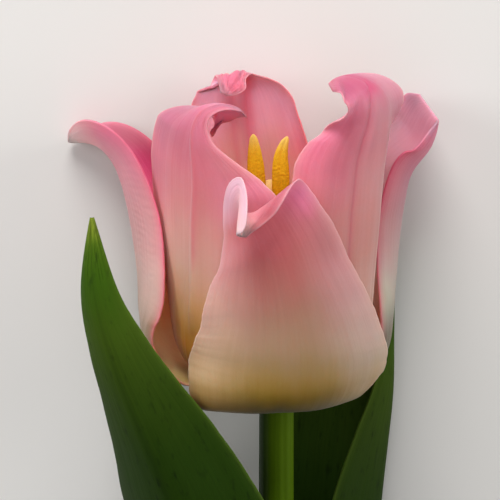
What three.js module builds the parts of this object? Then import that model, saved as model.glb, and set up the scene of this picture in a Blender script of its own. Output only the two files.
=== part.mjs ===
import * as THREE from "three";

// A cut tulip with long, curling tepals, lying on its two outer side tepals and the end of its stem.
// Millimetres. X runs across the bloom, Y along the flower toward its tips, Z up from the surface.
// Shapes are given round the flower's axis: x, h (along the axis from the tepals' base), n (up from it).

const tepalThickness = 0.8;
const leafThickness = 0.9;
const tepalRows = 25;
const tepalColumns = 13;
const leafRows = 22;
const leafColumns = 9;

const axisHeight = 21.9;
const stemLength = 200;
const stemEndRadius = 3.35;
const stemDrop = 18.6;
const stemSides = 20;
const receptacleRadius = 4.25;
const receptacleTop = 1.5;

const ovaryRadius = 1.5;
const ovaryLength = 27;
const stigmaLength = 4.6;
const pistilLean = 0.028;
const stigmaRadius = 2.6;
const filamentRadius = 0.6;
const filamentRing = 2.45;
const antherLength = 12.5;
const antherWidth = 3.3;
const antherDepth = 2;
const seatGap = 0.3;

const deg = Math.PI / 180;

// Colours and finish, one material for each kind of piece and tint
const finishes = {
  frontTepal: { color: "#b98474", roughness: 0.55 },
  sideTepal: { color: "#c98885", roughness: 0.55 },
  backTepal: { color: "#cf7a86", roughness: 0.55 },
  palerTepal: { color: "#c8908c", roughness: 0.55 },
  stem: { color: "#3c5510", roughness: 0.6 },
  leaf: { color: "#34501a", roughness: 0.6 },
  filament: { color: "#d8c58a", roughness: 0.6 },
  anther: { color: "#dc9414", roughness: 0.85 },
  ovary: { color: "#b7b66a", roughness: 0.6 },
  stigma: { color: "#ecb670", roughness: 0.75 },
};

// Each tepal: turn is its place round the axis in degrees, rib its midrib as [radius, height, sideways].
// The other lists hold [place along the midrib from 0 to 1, value]: half-widths in mm, bends in degrees.
const none = [[0, 0]];
const tepals = {
  tepal_outer_front: {
    finish: "frontTepal",
    turn: 3,
    rib: [[4.6, -1.2, 0], [9, -3, 0], [14, -4.3, 0.1], [18.6, -3.6, 0.4], [21.6, 0, 0.9], [22.4, 6, 1.2],
      [22.3, 12, 1], [22, 18, 0.1], [21.8, 24, -1.3], [21.9, 29, -3.4], [22.8, 32.5, -5.4], [24.5, 33.6, -6.6],
      [26, 32.4, -7.2], [26.6, 30.2, -7.5]],
    left: [[0, 2.2], [0.06, 6], [0.14, 12], [0.24, 17], [0.38, 19.8], [0.57, 16.2], [0.69, 13.2],
      [0.79, 9.8], [0.85, 8.4], [0.885, 8.4], [0.905, 7.8], [0.925, 6.8], [0.945, 6.1], [0.965, 5.7],
      [0.985, 4.6], [1, 0.5]],
    right: [[0, 2.2], [0.06, 6], [0.14, 12], [0.24, 17.5], [0.38, 20.4], [0.57, 15.5], [0.69, 12.6],
      [0.79, 11.6], [0.88, 10.6], [0.915, 9], [0.935, 6.4], [0.96, 3.6], [0.98, 1.8], [1, 0.5]],
    fold: [[0, 0], [0.08, 0], [0.16, 6], [0.3, 3], [0.45, 0], [0.6, 0], [0.75, 8], [0.85, 24], [1, 40]],
    foldLeft: [[0, 0], [0.08, 0], [0.16, -12], [0.26, -8], [0.42, 0], [0.6, 0], [0.75, 14], [0.85, 40],
      [0.885, 52], [0.905, 64], [0.925, 94], [0.945, 109], [0.97, 112], [1, 100]],
    curl: [[0, 27], [0.06, 43], [0.14, 54], [0.24, 54], [0.38, 53], [0.57, 36], [0.69, 24], [0.79, 12],
      [0.88, 0]],
    curlLeft: [[0, 27], [0.06, 30], [0.14, 34], [0.24, 40], [0.38, 50], [0.57, 36], [0.69, 24],
      [0.79, 8], [0.86, 0]],
  },
  tepal_inner_left: {
    finish: "sideTepal",
    turn: -60,
    rib: [[4, 0.7, 0], [8, -0.6, 0], [12, -1.3, 0], [15.6, -0.3, 0], [17.8, 3, 0], [18.4, 8, 0],
      [18.3, 16, 0], [18.3, 24, 0], [18.3, 32, 0], [18.2, 39, 0.3], [17.6, 44.2, 0.8], [16, 47.7, 1.5],
      [13.2, 49.1, 2.6], [10.2, 48.5, 3.4], [8.6, 46.9, 3.8]],
    left: [[0, 2], [0.06, 6], [0.15, 12], [0.28, 15.5], [0.5, 16], [0.7, 15.5], [0.8, 14], [0.86, 11.8],
      [0.92, 10.6], [0.97, 9.4], [1, 4.6]],
    right: [[0, 2], [0.06, 6], [0.15, 12], [0.28, 16.5], [0.5, 18.5], [0.67, 18.5], [0.73, 15.2], [0.78, 9.4],
      [0.82, 4.8], [0.86, 2.6], [0.9, 2], [0.96, 1.6], [1, 0.5]],
    band: [[0, 2.5]],
    fold: [[0, 0], [0.25, 2], [0.42, 18], [0.7, 24], [1, 30]],
    foldLeft: [[0, 0], [0.8, 0], [0.88, 36], [0.94, 58], [1, 50]],
    curl: [[0, 28], [0.15, 50], [0.28, 53], [0.42, 44], [0.7, 26], [0.8, 20], [1, 20]],
    curlLeft: [[0, 28], [0.15, 50], [0.28, 40], [0.5, 20], [0.8, 4], [1, 0]],
  },
  tepal_inner_right: {
    finish: "sideTepal",
    turn: 60,
    rib: [[4, 0.7, 0], [8, -0.6, 0], [12, -1.3, 0], [15.6, -0.3, 0], [17.8, 3, 0], [18.5, 9, 0],
      [19, 18, 0.2], [19.6, 28, 0.5], [20.2, 38, 0.8], [20.6, 45, 1], [20, 49.8, 0.8], [18.4, 52.6, 0.2],
      [16, 54, -0.8], [13.6, 54.1, -2], [12, 53, -3]],
    right: [[0, 2], [0.06, 6], [0.15, 12], [0.28, 15], [0.5, 14], [0.7, 13], [0.79, 12.2], [0.84, 11.2],
      [0.87, 9], [0.9, 6.8], [0.94, 4.8], [0.97, 3.8], [1, 2.2]],
    left: [[0, 2], [0.06, 6], [0.15, 12], [0.28, 16.5], [0.5, 18], [0.7, 17], [0.76, 14.8], [0.8, 12.2],
      [0.84, 11.2], [0.88, 10.4], [0.92, 10.2], [0.96, 10.2], [0.985, 8.6], [1, 6]],
    band: [[0, 2.5]],
    bandRight: [[0, 0.8]],
    foldLeft: [[0, 0], [0.25, 2], [0.42, 18], [0.7, 24], [0.8, 26], [0.86, 16], [0.92, 6], [1, 24]],
    foldRight: [[0, 0], [0.2, 10], [0.32, 38], [0.7, 36], [0.84, 6], [1, 20]],
    curlLeft: [[0, 28], [0.15, 50], [0.28, 53], [0.42, 46], [0.7, 34], [0.8, 30], [0.86, 22], [0.92, 10],
      [1, 20]],
    curlRight: [[0, 28], [0.15, 50], [0.28, 40], [0.5, 20], [0.8, 4], [1, 0]],
  },
  tepal_outer_left: {
    finish: "palerTepal",
    turn: -112,
    rib: [[4.6, -1.2, 0], [9, -2.2, 0], [15, -2.8, 0], [20.5, -1.6, 0], [24.6, 2, 0], [26.4, 7, 0],
      [27, 14, 0], [27.9, 20, 0], [29.1, 25.6, -0.3], [30.5, 30, -0.8], [32.6, 33.8, -1.6], [36, 36.2, -2.8],
      [39.8, 36.6, -4], [43.2, 35.9, -5]],
    left: [[0, 2.2], [0.06, 6], [0.14, 12], [0.24, 16], [0.4, 17], [0.55, 16], [0.7, 13], [0.8, 9.6],
      [0.9, 6.2], [0.96, 3.4], [1, 0.5]],
    right: [[0, 2.2], [0.06, 6], [0.14, 12], [0.24, 16.5], [0.33, 18.6], [0.42, 18.4], [0.55, 15.8],
      [0.7, 12.5], [0.8, 10], [0.9, 7.4], [0.95, 4.6], [0.98, 2.2], [1, 0.5]],
    fold: [[0, 0], [0.3, 10], [0.5, 30], [0.7, 45], [1, 50]],
    foldLeft: [[0, 0], [0.3, 8], [0.5, 18], [0.7, 36], [1, 50]],
    curl: [[0, 27], [0.06, 43], [0.14, 54], [0.24, 40], [0.4, 25], [1, 10]],
    curlLeft: [[0, 27], [0.06, 43], [0.14, 54], [0.24, 40], [0.4, 20], [0.55, 2], [1, 0]],
  },
  tepal_outer_right: {
    finish: "palerTepal",
    turn: 112,
    rib: [[4.6, -1.2, 0], [9, -2.2, 0], [14, -2.8, 0], [18.2, -1.6, 0], [21, 2, 0], [22, 7, 0], [22.8, 13, 0],
      [23.6, 20, 0], [24.6, 27, 0], [25.7, 33, -0.6], [28.6, 38, -2.2], [29.6, 43.2, -4]],
    left: [[0, 2.2], [0.06, 5.6], [0.14, 10.6], [0.24, 14], [0.4, 14], [0.55, 12], [0.75, 10.2], [0.85, 9.2],
      [0.93, 7.2], [0.97, 5], [1, 2]],
    right: [[0, 2.2], [0.06, 6], [0.14, 12], [0.24, 17.5], [0.4, 21.5], [0.55, 21.5], [0.75, 18],
      [0.85, 15.6], [0.93, 13.8], [0.97, 12.4], [1, 9]],
    fold: [[0, 0], [0.3, 10], [0.42, 18], [0.55, 31], [0.7, 43], [0.85, 46], [1, 50]],
    foldRight: [[0, 0], [0.3, 6], [0.5, 8], [0.7, 14], [0.88, 6], [1, 0]],
    curl: [[0, 27], [0.06, 43], [0.14, 54], [0.24, 45], [0.4, 30], [1, 10]],
    curlRight: [[0, 27], [0.06, 43], [0.14, 52], [0.24, 42], [0.36, 25], [0.55, 22], [0.7, 17],
      [0.88, 5], [1, 0]],
    rollRight: [[0, 0], [0.25, 0], [0.36, 50], [0.6, 46], [0.75, 10], [0.85, 0]],
  },
  tepal_inner_back: {
    finish: "backTepal",
    turn: 180,
    rib: [[4, 0.7, 0], [8, -0.6, 0], [12, -1.3, 0], [15.6, -0.3, 0], [17.6, 3, 0], [18.2, 9, 0.5],
      [18.2, 18, 1.4], [17.8, 27, 2.4], [17.4, 36, 3.8], [17, 43, 4.8], [16, 47.8, 5.4], [14, 50, 6.2],
      [12, 49.4, 8], [10.8, 47, 9.6]],
    right: [[0, 2], [0.06, 6], [0.15, 12], [0.28, 15.5], [0.5, 14], [0.7, 13], [0.79, 12], [0.84, 10.4],
      [0.88, 9.4], [0.915, 8.4], [0.94, 6.4], [0.97, 3], [1, 0.5]],
    left: [[0, 2], [0.06, 6], [0.15, 12], [0.28, 15], [0.45, 13], [0.6, 12.6], [0.72, 11.2], [0.78, 10],
      [0.826, 8.8], [0.86, 6.8], [0.885, 4.4], [0.91, 1.8], [0.93, 1.8], [0.955, 3], [0.985, 2], [1, 0.5]],
    foldRight: [[0, 0], [0.8, 0], [0.88, 4], [0.94, 32], [1, 55]],
    curl: [[0, 28], [0.15, 50], [0.28, 45], [0.5, 30], [1, 0]],
    rollLeft: [[0, 0], [0.4, 0], [0.55, 90], [0.75, 90], [0.9, 0]],
  },
};

// Each leaf: its midrib as [x, h, n], and the same kinds of list
const leaves = {
  leaf_left: {
    finish: "leaf",
    turn: -27,
    line: [[-2, -125, -3.4], [-3.6, -105, 1.6], [-7, -80, 7.4], [-11, -55, 12.8], [-15, -35, 16.6],
      [-19.2, -20, 18.6], [-24.2, -6, 19.6], [-28.6, 6, 19.6], [-31.8, 18, 18.2], [-32.4, 30.6, 15.2]],
    left: [[0, 4.4], [0.12, 10], [0.3, 18.4], [0.5, 22], [0.63, 20.6], [0.73, 15.4], [0.81, 10.8], [0.89, 6.6],
      [0.95, 3], [0.985, 1.1], [1, 0.3]],
    right: [[0, 4.4], [0.12, 10], [0.3, 15.5], [0.5, 17.5], [0.63, 16.2], [0.73, 12.6], [0.81, 8.8],
      [0.89, 5.2], [0.95, 2.8], [0.985, 1.1], [1, 0.3]],
    fold: [[0, 0], [0.1, 0], [0.3, 14], [1, 20]],
    curl: [[0, 56], [0.12, 45], [0.4, 25], [1, 30]],
  },
  leaf_right: {
    finish: "leaf",
    turn: 118,
    line: [[3.9, -150, -12.7], [7, -125, -12.3], [11, -100, -12.8], [15, -75, -13.8], [18, -50, -14.8],
      [19.8, -30, -15.4], [21.4, -12, -15.8], [21.6, 0, -15.8], [21.5, 8, -15.6], [21, 16, -15.2]],
    left: [[0, 4.4], [0.15, 10], [0.4, 16], [0.6, 19], [0.72, 18], [0.8, 13], [0.87, 7], [0.95, 3.5],
      [1, 0.5]],
    right: [[0, 4.4], [0.15, 10], [0.4, 17], [0.6, 19.5], [0.8, 19.5], [0.86, 13], [0.91, 7], [0.96, 4],
      [1, 0.5]],
    fold: [[0, 0], [0.08, 2], [0.3, 26], [0.6, 45], [1, 45]],
    foldLeft: [[0, 0], [0.08, 2], [0.3, 34], [0.6, 60], [1, 55]],
    curl: [[0, 56], [0.12, 44], [0.4, 15], [1, 10]],
  },
};

// Stamens: where each one's anther ends, as [x, h, n], and how far its tip hooks over
const antherTips = [
  { tip: [-4.3, 43, 4.4], hook: 0 },
  { tip: [0.45, 42.6, 4.4], hook: 1.2 },
  { tip: [8, 37.5, 1], hook: 0.4 },
  { tip: [6.6, 38.5, -4.5], hook: 0.3 },
  { tip: [-9, 35.5, -3.6], hook: 0.4 },
  { tip: [-9.6, 35, 2.2], hook: 0.3 },
];

const vec = (a) => new THREE.Vector3(a[0], a[1], a[2]);
const clamp01 = (v) => Math.min(1, Math.max(0, v));

// A smooth curve through [place, value] pairs that never overshoots them
function follow(knots, s) {
  const last = knots.length - 1;
  if (last === 0 || s <= knots[0][0]) return knots[0][1];
  if (s >= knots[last][0]) return knots[last][1];
  const rise = (k) => (knots[k + 1][1] - knots[k][1]) / (knots[k + 1][0] - knots[k][0]);
  const slope = (k) => {
    if (k === 0) return rise(0);
    if (k === last) return rise(last - 1);
    const before = rise(k - 1);
    const after = rise(k);
    if (before * after <= 0) return 0;
    const hb = knots[k][0] - knots[k - 1][0];
    const ha = knots[k + 1][0] - knots[k][0];
    return (3 * (ha + hb)) / ((2 * ha + hb) / before + (ha + 2 * hb) / after);
  };
  let i = 0;
  while (s > knots[i + 1][0]) i += 1;
  const h = knots[i + 1][0] - knots[i][0];
  const t = (s - knots[i][0]) / h;
  const t2 = t * t;
  const t3 = t2 * t;
  return (2 * t3 - 3 * t2 + 1) * knots[i][1] + (t3 - 2 * t2 + t) * h * slope(i)
    + (3 * t2 - 2 * t3) * knots[i + 1][1] + (t3 - t2) * h * slope(i + 1);
}

// A midrib as a dense line with the share of its length at each point
function midrib(points) {
  const p = points.map(vec);
  p.unshift(p[0].clone().multiplyScalar(2).sub(p[1]));
  p.push(p[p.length - 1].clone().multiplyScalar(2).sub(p[p.length - 2]));
  const line = [];
  const steps = 24;
  for (let i = 1; i < p.length - 2; i += 1) {
    for (let k = 0; k < steps; k += 1) {
      const t = k / steps;
      const at = (axis) => {
        const [a, b, c, d] = [p[i - 1], p[i], p[i + 1], p[i + 2]].map((v) => v[axis]);
        return 0.5 * (2 * b + (c - a) * t + (2 * a - 5 * b + 4 * c - d) * t * t
          + (3 * b - a - 3 * c + d) * t * t * t);
      };
      line.push(new THREE.Vector3(at("x"), at("y"), at("z")));
    }
  }
  line.push(p[p.length - 2]);
  const share = [0];
  for (let i = 1; i < line.length; i += 1) share.push(share[i - 1] + line[i].distanceTo(line[i - 1]));
  const length = share[share.length - 1];
  return (s) => {
    const want = clamp01(s) * length;
    let i = 1;
    while (i < share.length - 1 && share[i] < want) i += 1;
    const f = (want - share[i - 1]) / (share[i] - share[i - 1]);
    return line[i - 1].clone().lerp(line[i], f);
  };
}

// The middle surface of a tepal or leaf as rows of points, base to tip
function middleSurface(blade, rows, columns, hugsAxis) {
  const out = new THREE.Vector3(Math.sin(blade.turn * deg), 0, Math.cos(blade.turn * deg));
  const across = new THREE.Vector3(Math.cos(blade.turn * deg), 0, -Math.sin(blade.turn * deg));
  const points = blade.line || blade.rib.map(([radius, height, side]) => [
    out.x * radius + across.x * side,
    height,
    out.z * radius + across.z * side,
  ]);
  const rib = midrib(points);
  const steps = 96;
  const surface = [];
  for (let i = 0; i < rows; i += 1) {
    const s = i / (rows - 1);
    const along = rib(s + 0.012).sub(rib(s - 0.012)).normalize();
    const side = across.clone().addScaledVector(along, -across.dot(along)).normalize();
    const face = side.clone().cross(along);
    // low down a tepal wraps round the flower's axis, higher up it bends about its own midrib
    const free = hugsAxis ? clamp01((s - 0.22) / 0.2) : 1;
    const bend = out.clone().lerp(face, free * free * (3 - 2 * free)).normalize();
    const row = new Array(columns);
    for (const hand of [-1, 1]) {
      const name = hand < 0 ? "Left" : "Right";
      const amount = (kind) => follow(blade[kind + name] || blade[kind] || none, s);
      const width = follow(hand < 0 ? blade.left : blade.right, s);
      const fold = amount("fold") * deg;
      const curl = amount("curl") * deg;
      const roll = amount("roll") * deg;
      const band = amount("band");
      const crease = (w) => 1 / (1 + Math.exp((band - w) / 0.8));
      const start = crease(0);
      let sideways = 0;
      let inward = 0;
      let column = (columns - 1) / 2;
      for (let k = 0; k <= steps; k += 1) {
        while (hand * (column - (columns - 1) / 2) / ((columns - 1) / 2) <= k / steps + 1e-9
          && column >= 0 && column < columns) {
          row[column] = rib(s).addScaledVector(side, hand * sideways).addScaledVector(bend, -inward);
          column += hand;
        }
        const q = (k + 0.5) / steps;
        const angle = fold * (crease(q * width) - start) / (1 - start) + curl * q
          + roll * clamp01((q - 0.6) / 0.4) ** 1.5;
        sideways += (Math.cos(angle) * width) / steps;
        inward += (Math.sin(angle) * width) / steps;
      }
    }
    surface.push(row);
  }
  return surface;
}

// A closed mesh from two like grids, the outer and the inner face, joined round the rim
function closedBlade(surface, thickness) {
  const rows = surface.length;
  const columns = surface[0].length;
  const normals = surface.map((row, i) => row.map((_, j) => {
    const up = surface[Math.min(i + 1, rows - 1)][j].clone().sub(surface[Math.max(i - 1, 0)][j]);
    const side = surface[i][Math.min(j + 1, columns - 1)].clone().sub(surface[i][Math.max(j - 1, 0)]);
    return side.cross(up).normalize();
  }));
  const positions = [];
  for (const hand of [0.5, -0.5]) {
    for (let i = 0; i < rows; i += 1) {
      for (let j = 0; j < columns; j += 1) {
        const p = surface[i][j].clone().addScaledVector(normals[i][j], hand * thickness);
        p.z += axisHeight;
        p.z = Math.max(p.z, -thickness * Math.min(0, (hand > 0 ? -1 : 1) * normals[i][j].z));
        positions.push(p.x, p.y, p.z);
      }
    }
  }
  const at = (face, i, j) => face * rows * columns + i * columns + j;
  const faces = [];
  const quad = (a, b, c, d) => faces.push(a, b, c, a, c, d);
  for (let i = 0; i < rows - 1; i += 1) {
    for (let j = 0; j < columns - 1; j += 1) {
      const left = j < (columns - 1) / 2;
      for (const face of [0, 1]) {
        const q = [at(face, i, j), at(face, i, j + 1), at(face, i + 1, j + 1), at(face, i + 1, j)];
        if (face === 1) q.reverse();
        const turned = left ? q : [q[1], q[2], q[3], q[0]];
        quad(...turned);
      }
    }
  }
  for (let i = 0; i < rows - 1; i += 1) {
    quad(at(0, i, 0), at(0, i + 1, 0), at(1, i + 1, 0), at(1, i, 0));
    quad(at(1, i, columns - 1), at(1, i + 1, columns - 1), at(0, i + 1, columns - 1), at(0, i, columns - 1));
  }
  for (let j = 0; j < columns - 1; j += 1) {
    quad(at(1, 0, j), at(1, 0, j + 1), at(0, 0, j + 1), at(0, 0, j));
    quad(at(0, rows - 1, j), at(0, rows - 1, j + 1), at(1, rows - 1, j + 1), at(1, rows - 1, j));
  }
  return meshGeometry(positions, faces);
}

function meshGeometry(positions, faces) {
  const geometry = new THREE.BufferGeometry();
  geometry.setAttribute("position", new THREE.Float32BufferAttribute(positions, 3));
  geometry.setIndex(faces);
  geometry.computeVertexNormals();
  return geometry;
}

// A closed body through rings of points, each ring turning the same way, with a point at either end
function throughRings(rings, first, last) {
  const sides = rings[0].length;
  const positions = [];
  for (const p of [...rings.flat(), first, last]) positions.push(p.x, p.y, p.z + axisHeight);
  const faces = [];
  const start = rings.length * sides;
  for (let j = 0; j < sides; j += 1) {
    const k = (j + 1) % sides;
    faces.push(start, k, j);
    faces.push(start + 1, start - sides + j, start - sides + k);
    for (let i = 0; i < rings.length - 1; i += 1) {
      const a = i * sides;
      faces.push(a + j, a + k, a + sides + k, a + j, a + sides + k, a + sides + j);
    }
  }
  return meshGeometry(positions, faces);
}

// A ring about a centre, across a direction; reach gives the two half-sizes at an angle
function ringAt(centre, along, wide, sides, reach) {
  const u = wide.clone().addScaledVector(along, -wide.dot(along)).normalize();
  const v = along.clone().cross(u);
  return Array.from({ length: sides }, (_, j) => {
    const angle = (j / sides) * 2 * Math.PI;
    const [a, b] = reach(angle);
    return centre.clone().addScaledVector(u, a * Math.cos(angle)).addScaledVector(v, b * Math.sin(angle));
  });
}

const xAxis = new THREE.Vector3(1, 0, 0);
const stemCentre = (h) => vec([0, h, h < 0 ? -stemDrop * (h / stemLength) ** 2 : 0]);

// The stem with the receptacle that carries the flower's parts
function stemGeometry() {
  const profile = [[-stemLength, stemEndRadius], [-150, 3.5], [-60, 3.3], [-9, 3.1], [-4, 3.3], [-2.4, 3.8],
    [-1.4, receptacleRadius], [-0.6, receptacleRadius], [0.1, 3.7], [0.9, 3.6], [1.3, 3.4],
    [receptacleTop, 3.1]];
  const rings = [];
  for (let h = -stemLength; h < -12; h += 11) {
    rings.push([h, follow(profile, h)]);
  }
  rings.push([-9, 3.1], ...profile.slice(4));
  const made = rings.map(([h, r]) => {
    const along = stemCentre(h + 0.5).sub(stemCentre(h - 0.5)).normalize();
    return ringAt(stemCentre(h), h > -9 ? vec([0, 1, 0]) : along, xAxis, stemSides, () => [r, r]);
  });
  return throughRings(made, stemCentre(-stemLength), stemCentre(receptacleTop));
}

// A filament and the anther on its tip
function stamen(index) {
  const { tip, hook } = antherTips[index];
  const angle = (-30 + 60 * index) * deg;
  const foot = vec([filamentRing * Math.sin(angle), receptacleTop + seatGap, filamentRing * Math.cos(angle)]);
  const end = vec(tip);
  const lean = end.clone().sub(foot).normalize();
  const seat = end.clone().addScaledVector(lean, -antherLength);
  const top = seat.clone().addScaledVector(lean, -seatGap);
  const sides = 10;
  const filamentRings = [0, 0.25, 0.5, 0.75, 1].map((f) => {
    const r = filamentRadius * (1 - 0.35 * f);
    return ringAt(foot.clone().lerp(top, f), f === 0 ? vec([0, 1, 0]) : lean, xAxis, sides, () => [r, r]);
  });
  const filament = throughRings(filamentRings, foot, top);
  const outline = [[0.02, 0.3], [0.08, 0.75], [0.2, 1], [0.45, 0.98], [0.7, 0.8], [0.88, 0.55], [0.96, 0.36]];
  const hooked = (f) => hook * Math.max(0, (f - 0.6) / 0.4) ** 2;
  const bent = (f) => seat.clone().lerp(end, f).addScaledVector(xAxis, hooked(f));
  const antherRings = outline.map(([f, size]) => ringAt(bent(f), lean, xAxis, 12, (a) => [
    (antherWidth / 2) * size,
    (antherDepth / 2) * size * (1 - 0.3 * Math.exp(-((Math.cos(a) / 0.4) ** 2))),
  ]));
  const anther = throughRings(antherRings, seat, bent(1));
  return { filament, anther };
}

// The three-sided ovary and the three-lobed stigma on it
function pistil() {
  const base = receptacleTop + seatGap;
  const threeSided = (a) => 1 + 0.12 * Math.cos(3 * a);
  const up = vec([0, 1, 0]);
  const centre = (h) => vec([-pistilLean * (h - base), h, 0]);
  const bodyRing = (h, r) => ringAt(centre(h), up, xAxis, 18, (a) => [r * threeSided(a), r * threeSided(a)]);
  const ovaryShape = [[0, 0.8], [0.12, 1], [0.5, 1.05], [0.85, 0.92], [1, 0.8]];
  const ovary = throughRings(
    ovaryShape.map(([f, r]) => bodyRing(base + f * ovaryLength, r * ovaryRadius)),
    centre(base),
    centre(base + ovaryLength),
  );
  const seat = base + ovaryLength + seatGap;
  const lobed = (a) => 1 + 0.22 * Math.cos(3 * a);
  const lobeRing = (h, r) => ringAt(centre(h), up, xAxis, 18, (a) => [r * lobed(a), r * lobed(a)]);
  const stigmaShape = [[0, 0.45], [0.2, 0.7], [0.45, 0.95], [0.7, 0.9], [0.88, 0.62], [0.97, 0.3]];
  const stigma = throughRings(
    stigmaShape.map(([f, r]) => lobeRing(seat + f * stigmaLength, r * stigmaRadius)),
    centre(seat),
    centre(seat + stigmaLength),
  );
  return { ovary, stigma };
}

const group = new THREE.Group();
function addPiece(name, geometry, finish) {
  const material = new THREE.MeshStandardMaterial({ ...finishes[finish], metalness: 0, name: finish });
  const mesh = new THREE.Mesh(geometry, material);
  mesh.name = name;
  group.add(mesh);
}

addPiece("stem", stemGeometry(), "stem");
for (const [name, leaf] of Object.entries(leaves)) {
  const surface = middleSurface(leaf, leafRows, leafColumns, false);
  addPiece(name, closedBlade(surface, leafThickness), leaf.finish);
}
for (const [name, tepal] of Object.entries(tepals)) {
  const surface = middleSurface(tepal, tepalRows, tepalColumns, true);
  addPiece(name, closedBlade(surface, tepalThickness), tepal.finish);
}
antherTips.forEach((_, index) => {
  const { filament, anther } = stamen(index);
  addPiece(`filament_${index + 1}`, filament, "filament");
  addPiece(`anther_${index + 1}`, anther, "anther");
});
const { ovary, stigma } = pistil();
addPiece("ovary", ovary, "ovary");
addPiece("stigma", stigma, "stigma");

// The part's origin is the middle of its footprint, on the surface
const footprint = new THREE.Box3().setFromObject(group);
const middle = footprint.getCenter(new THREE.Vector3());
group.children.forEach((mesh) => mesh.geometry.translate(-middle.x, -middle.y, 0));

export default group;
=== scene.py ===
import math
import bpy
import numpy as np
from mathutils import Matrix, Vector


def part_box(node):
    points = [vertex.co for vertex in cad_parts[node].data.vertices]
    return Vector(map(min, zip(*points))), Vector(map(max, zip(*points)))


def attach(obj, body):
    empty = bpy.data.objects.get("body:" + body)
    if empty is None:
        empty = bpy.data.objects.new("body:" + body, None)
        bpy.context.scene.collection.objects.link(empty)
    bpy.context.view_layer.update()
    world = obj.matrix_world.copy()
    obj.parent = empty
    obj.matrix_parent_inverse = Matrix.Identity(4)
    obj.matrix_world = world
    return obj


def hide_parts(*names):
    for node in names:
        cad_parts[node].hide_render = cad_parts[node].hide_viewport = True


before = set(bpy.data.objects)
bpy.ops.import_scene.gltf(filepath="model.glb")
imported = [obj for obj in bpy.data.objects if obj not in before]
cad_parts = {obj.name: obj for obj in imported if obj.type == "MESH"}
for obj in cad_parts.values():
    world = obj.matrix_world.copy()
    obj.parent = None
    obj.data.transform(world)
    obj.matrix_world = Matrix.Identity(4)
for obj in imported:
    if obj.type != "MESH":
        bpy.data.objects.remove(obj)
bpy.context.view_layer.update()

# A cut tulip with long, curling petals, lying on its two outer side petals and the end of its stem.
# Shapes are in millimetres round the flower's own axis: x across, h along it from the foot of the petals,
# n up from it. The stem's box says where that axis lies in the frame.
millimetres = 1000  # in a metre
receptacleTop = 1.5  # h of the stem's upper end
axisHeight = 21.9  # of the flower's axis above the surface
stemLow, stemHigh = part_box("stem")
axisPlace = np.array([(stemLow.x + stemHigh.x) / 2 * millimetres,
                      stemHigh.y * millimetres - receptacleTop, axisHeight])
xAxis = np.array([1.0, 0, 0])
hAxis = np.array([0, 1.0, 0])


# Small tools that the whole script uses
def metres(points):
    return (np.asarray(points, float) + axisPlace) / millimetres


def unit(v):
    return v / np.maximum(np.linalg.norm(v, axis=-1, keepdims=True), 1e-12)


def eased(share):
    # from 0 to 1 with a soft start and end
    return share * share * (3 - 2 * share)


def addItem(name, data):
    item = bpy.data.objects.new(name, data)
    bpy.context.scene.collection.objects.link(item)
    return item


def startFinish(name):
    finish = bpy.data.materials.new(name)
    finish.use_nodes = True
    return finish, finish.node_tree, finish.node_tree.nodes["Principled BSDF"]


def setSockets(node, values):
    for socket, value in values.items():
        node.inputs[socket].default_value = value


def addNode(tree, kind, inputs, output=0, **settings):
    made = tree.nodes.new("ShaderNode" + kind)
    for key, value in settings.items():
        setattr(made, key, value)
    for key, value in inputs.items():
        if isinstance(value, bpy.types.NodeSocket):
            tree.links.new(value, made.inputs[key])
        else:
            made.inputs[key].default_value = value
    return made.outputs[output]


# Camera, floor and light
view = {
    "target": (-4.86, 20.7, 0),  # round the flower's axis
    "distance": 500,
    "tiltFromAbove": 15,  # degrees, toward the petals' tips
    "lens": 200,
    "sensorWidth": 36,
    "farthest": 20,  # metres that the camera sees
}
studio = {
    "floorHalfSide": 2500,
    "floorDrop": 0.2,  # below the surface that the flower lies on
    "floorColour": (0.83, 0.82, 0.8),
    "floorRoughness": 0.9,
    "floorGloss": 0.1,
    "skyColour": (1, 1, 1),
    "skyStrength": 0.2,  # as a light
    "backdropStrength": 0.7,  # as the pale wall that shows behind the floor
    "lamps": [
        # place from the target and size in mm, power in watts
        {"name": "tipSoftbox", "place": (-60, 660, 380), "size": 420, "power": 4.8,
         "colour": (1, 0.98, 0.96)},
        {"name": "leftSoftbox", "place": (-620, 220, 260), "size": 400, "power": 1.9,
         "colour": (1, 1, 1)},
        {"name": "rightSoftbox", "place": (620, 220, 260), "size": 400, "power": 1.7,
         "colour": (1, 0.98, 0.96)},
        {"name": "overheadSoftbox", "place": (-60, 40, 900), "size": 700, "power": 0.7,
         "colour": (1, 1, 1)},
    ],
}


def setUpView():
    tilt = math.radians(view["tiltFromAbove"])
    lens = bpy.data.cameras.new("photoView")
    lens.lens = view["lens"]
    lens.sensor_width = view["sensorWidth"]
    lens.clip_end = view["farthest"]
    camera = addItem("photoView", lens)
    away = Vector((0, math.sin(tilt), math.cos(tilt))) * view["distance"] / millimetres
    camera.location = Vector(metres(view["target"])) + away
    camera.rotation_euler = (-tilt, 0, 0)
    scene = bpy.context.scene
    scene.camera = camera
    scene.view_settings.view_transform = "Standard"
    scene.view_settings.look = "None"


def layFloor():
    side = studio["floorHalfSide"] / millimetres
    mesh = bpy.data.meshes.new("studioFloor")
    corners = [(-side, -side, 0), (side, -side, 0), (side, side, 0), (-side, side, 0)]
    mesh.from_pydata(corners, [], [(0, 1, 2, 3)])
    floor = addItem("studioFloor", mesh)
    floor.location.z = -studio["floorDrop"] / millimetres
    finish, _, shader = startFinish("floorPaper")
    setSockets(shader, {"Base Color": (*studio["floorColour"], 1), "Roughness": studio["floorRoughness"],
                        "Specular IOR Level": studio["floorGloss"]})
    mesh.materials.append(finish)


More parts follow.
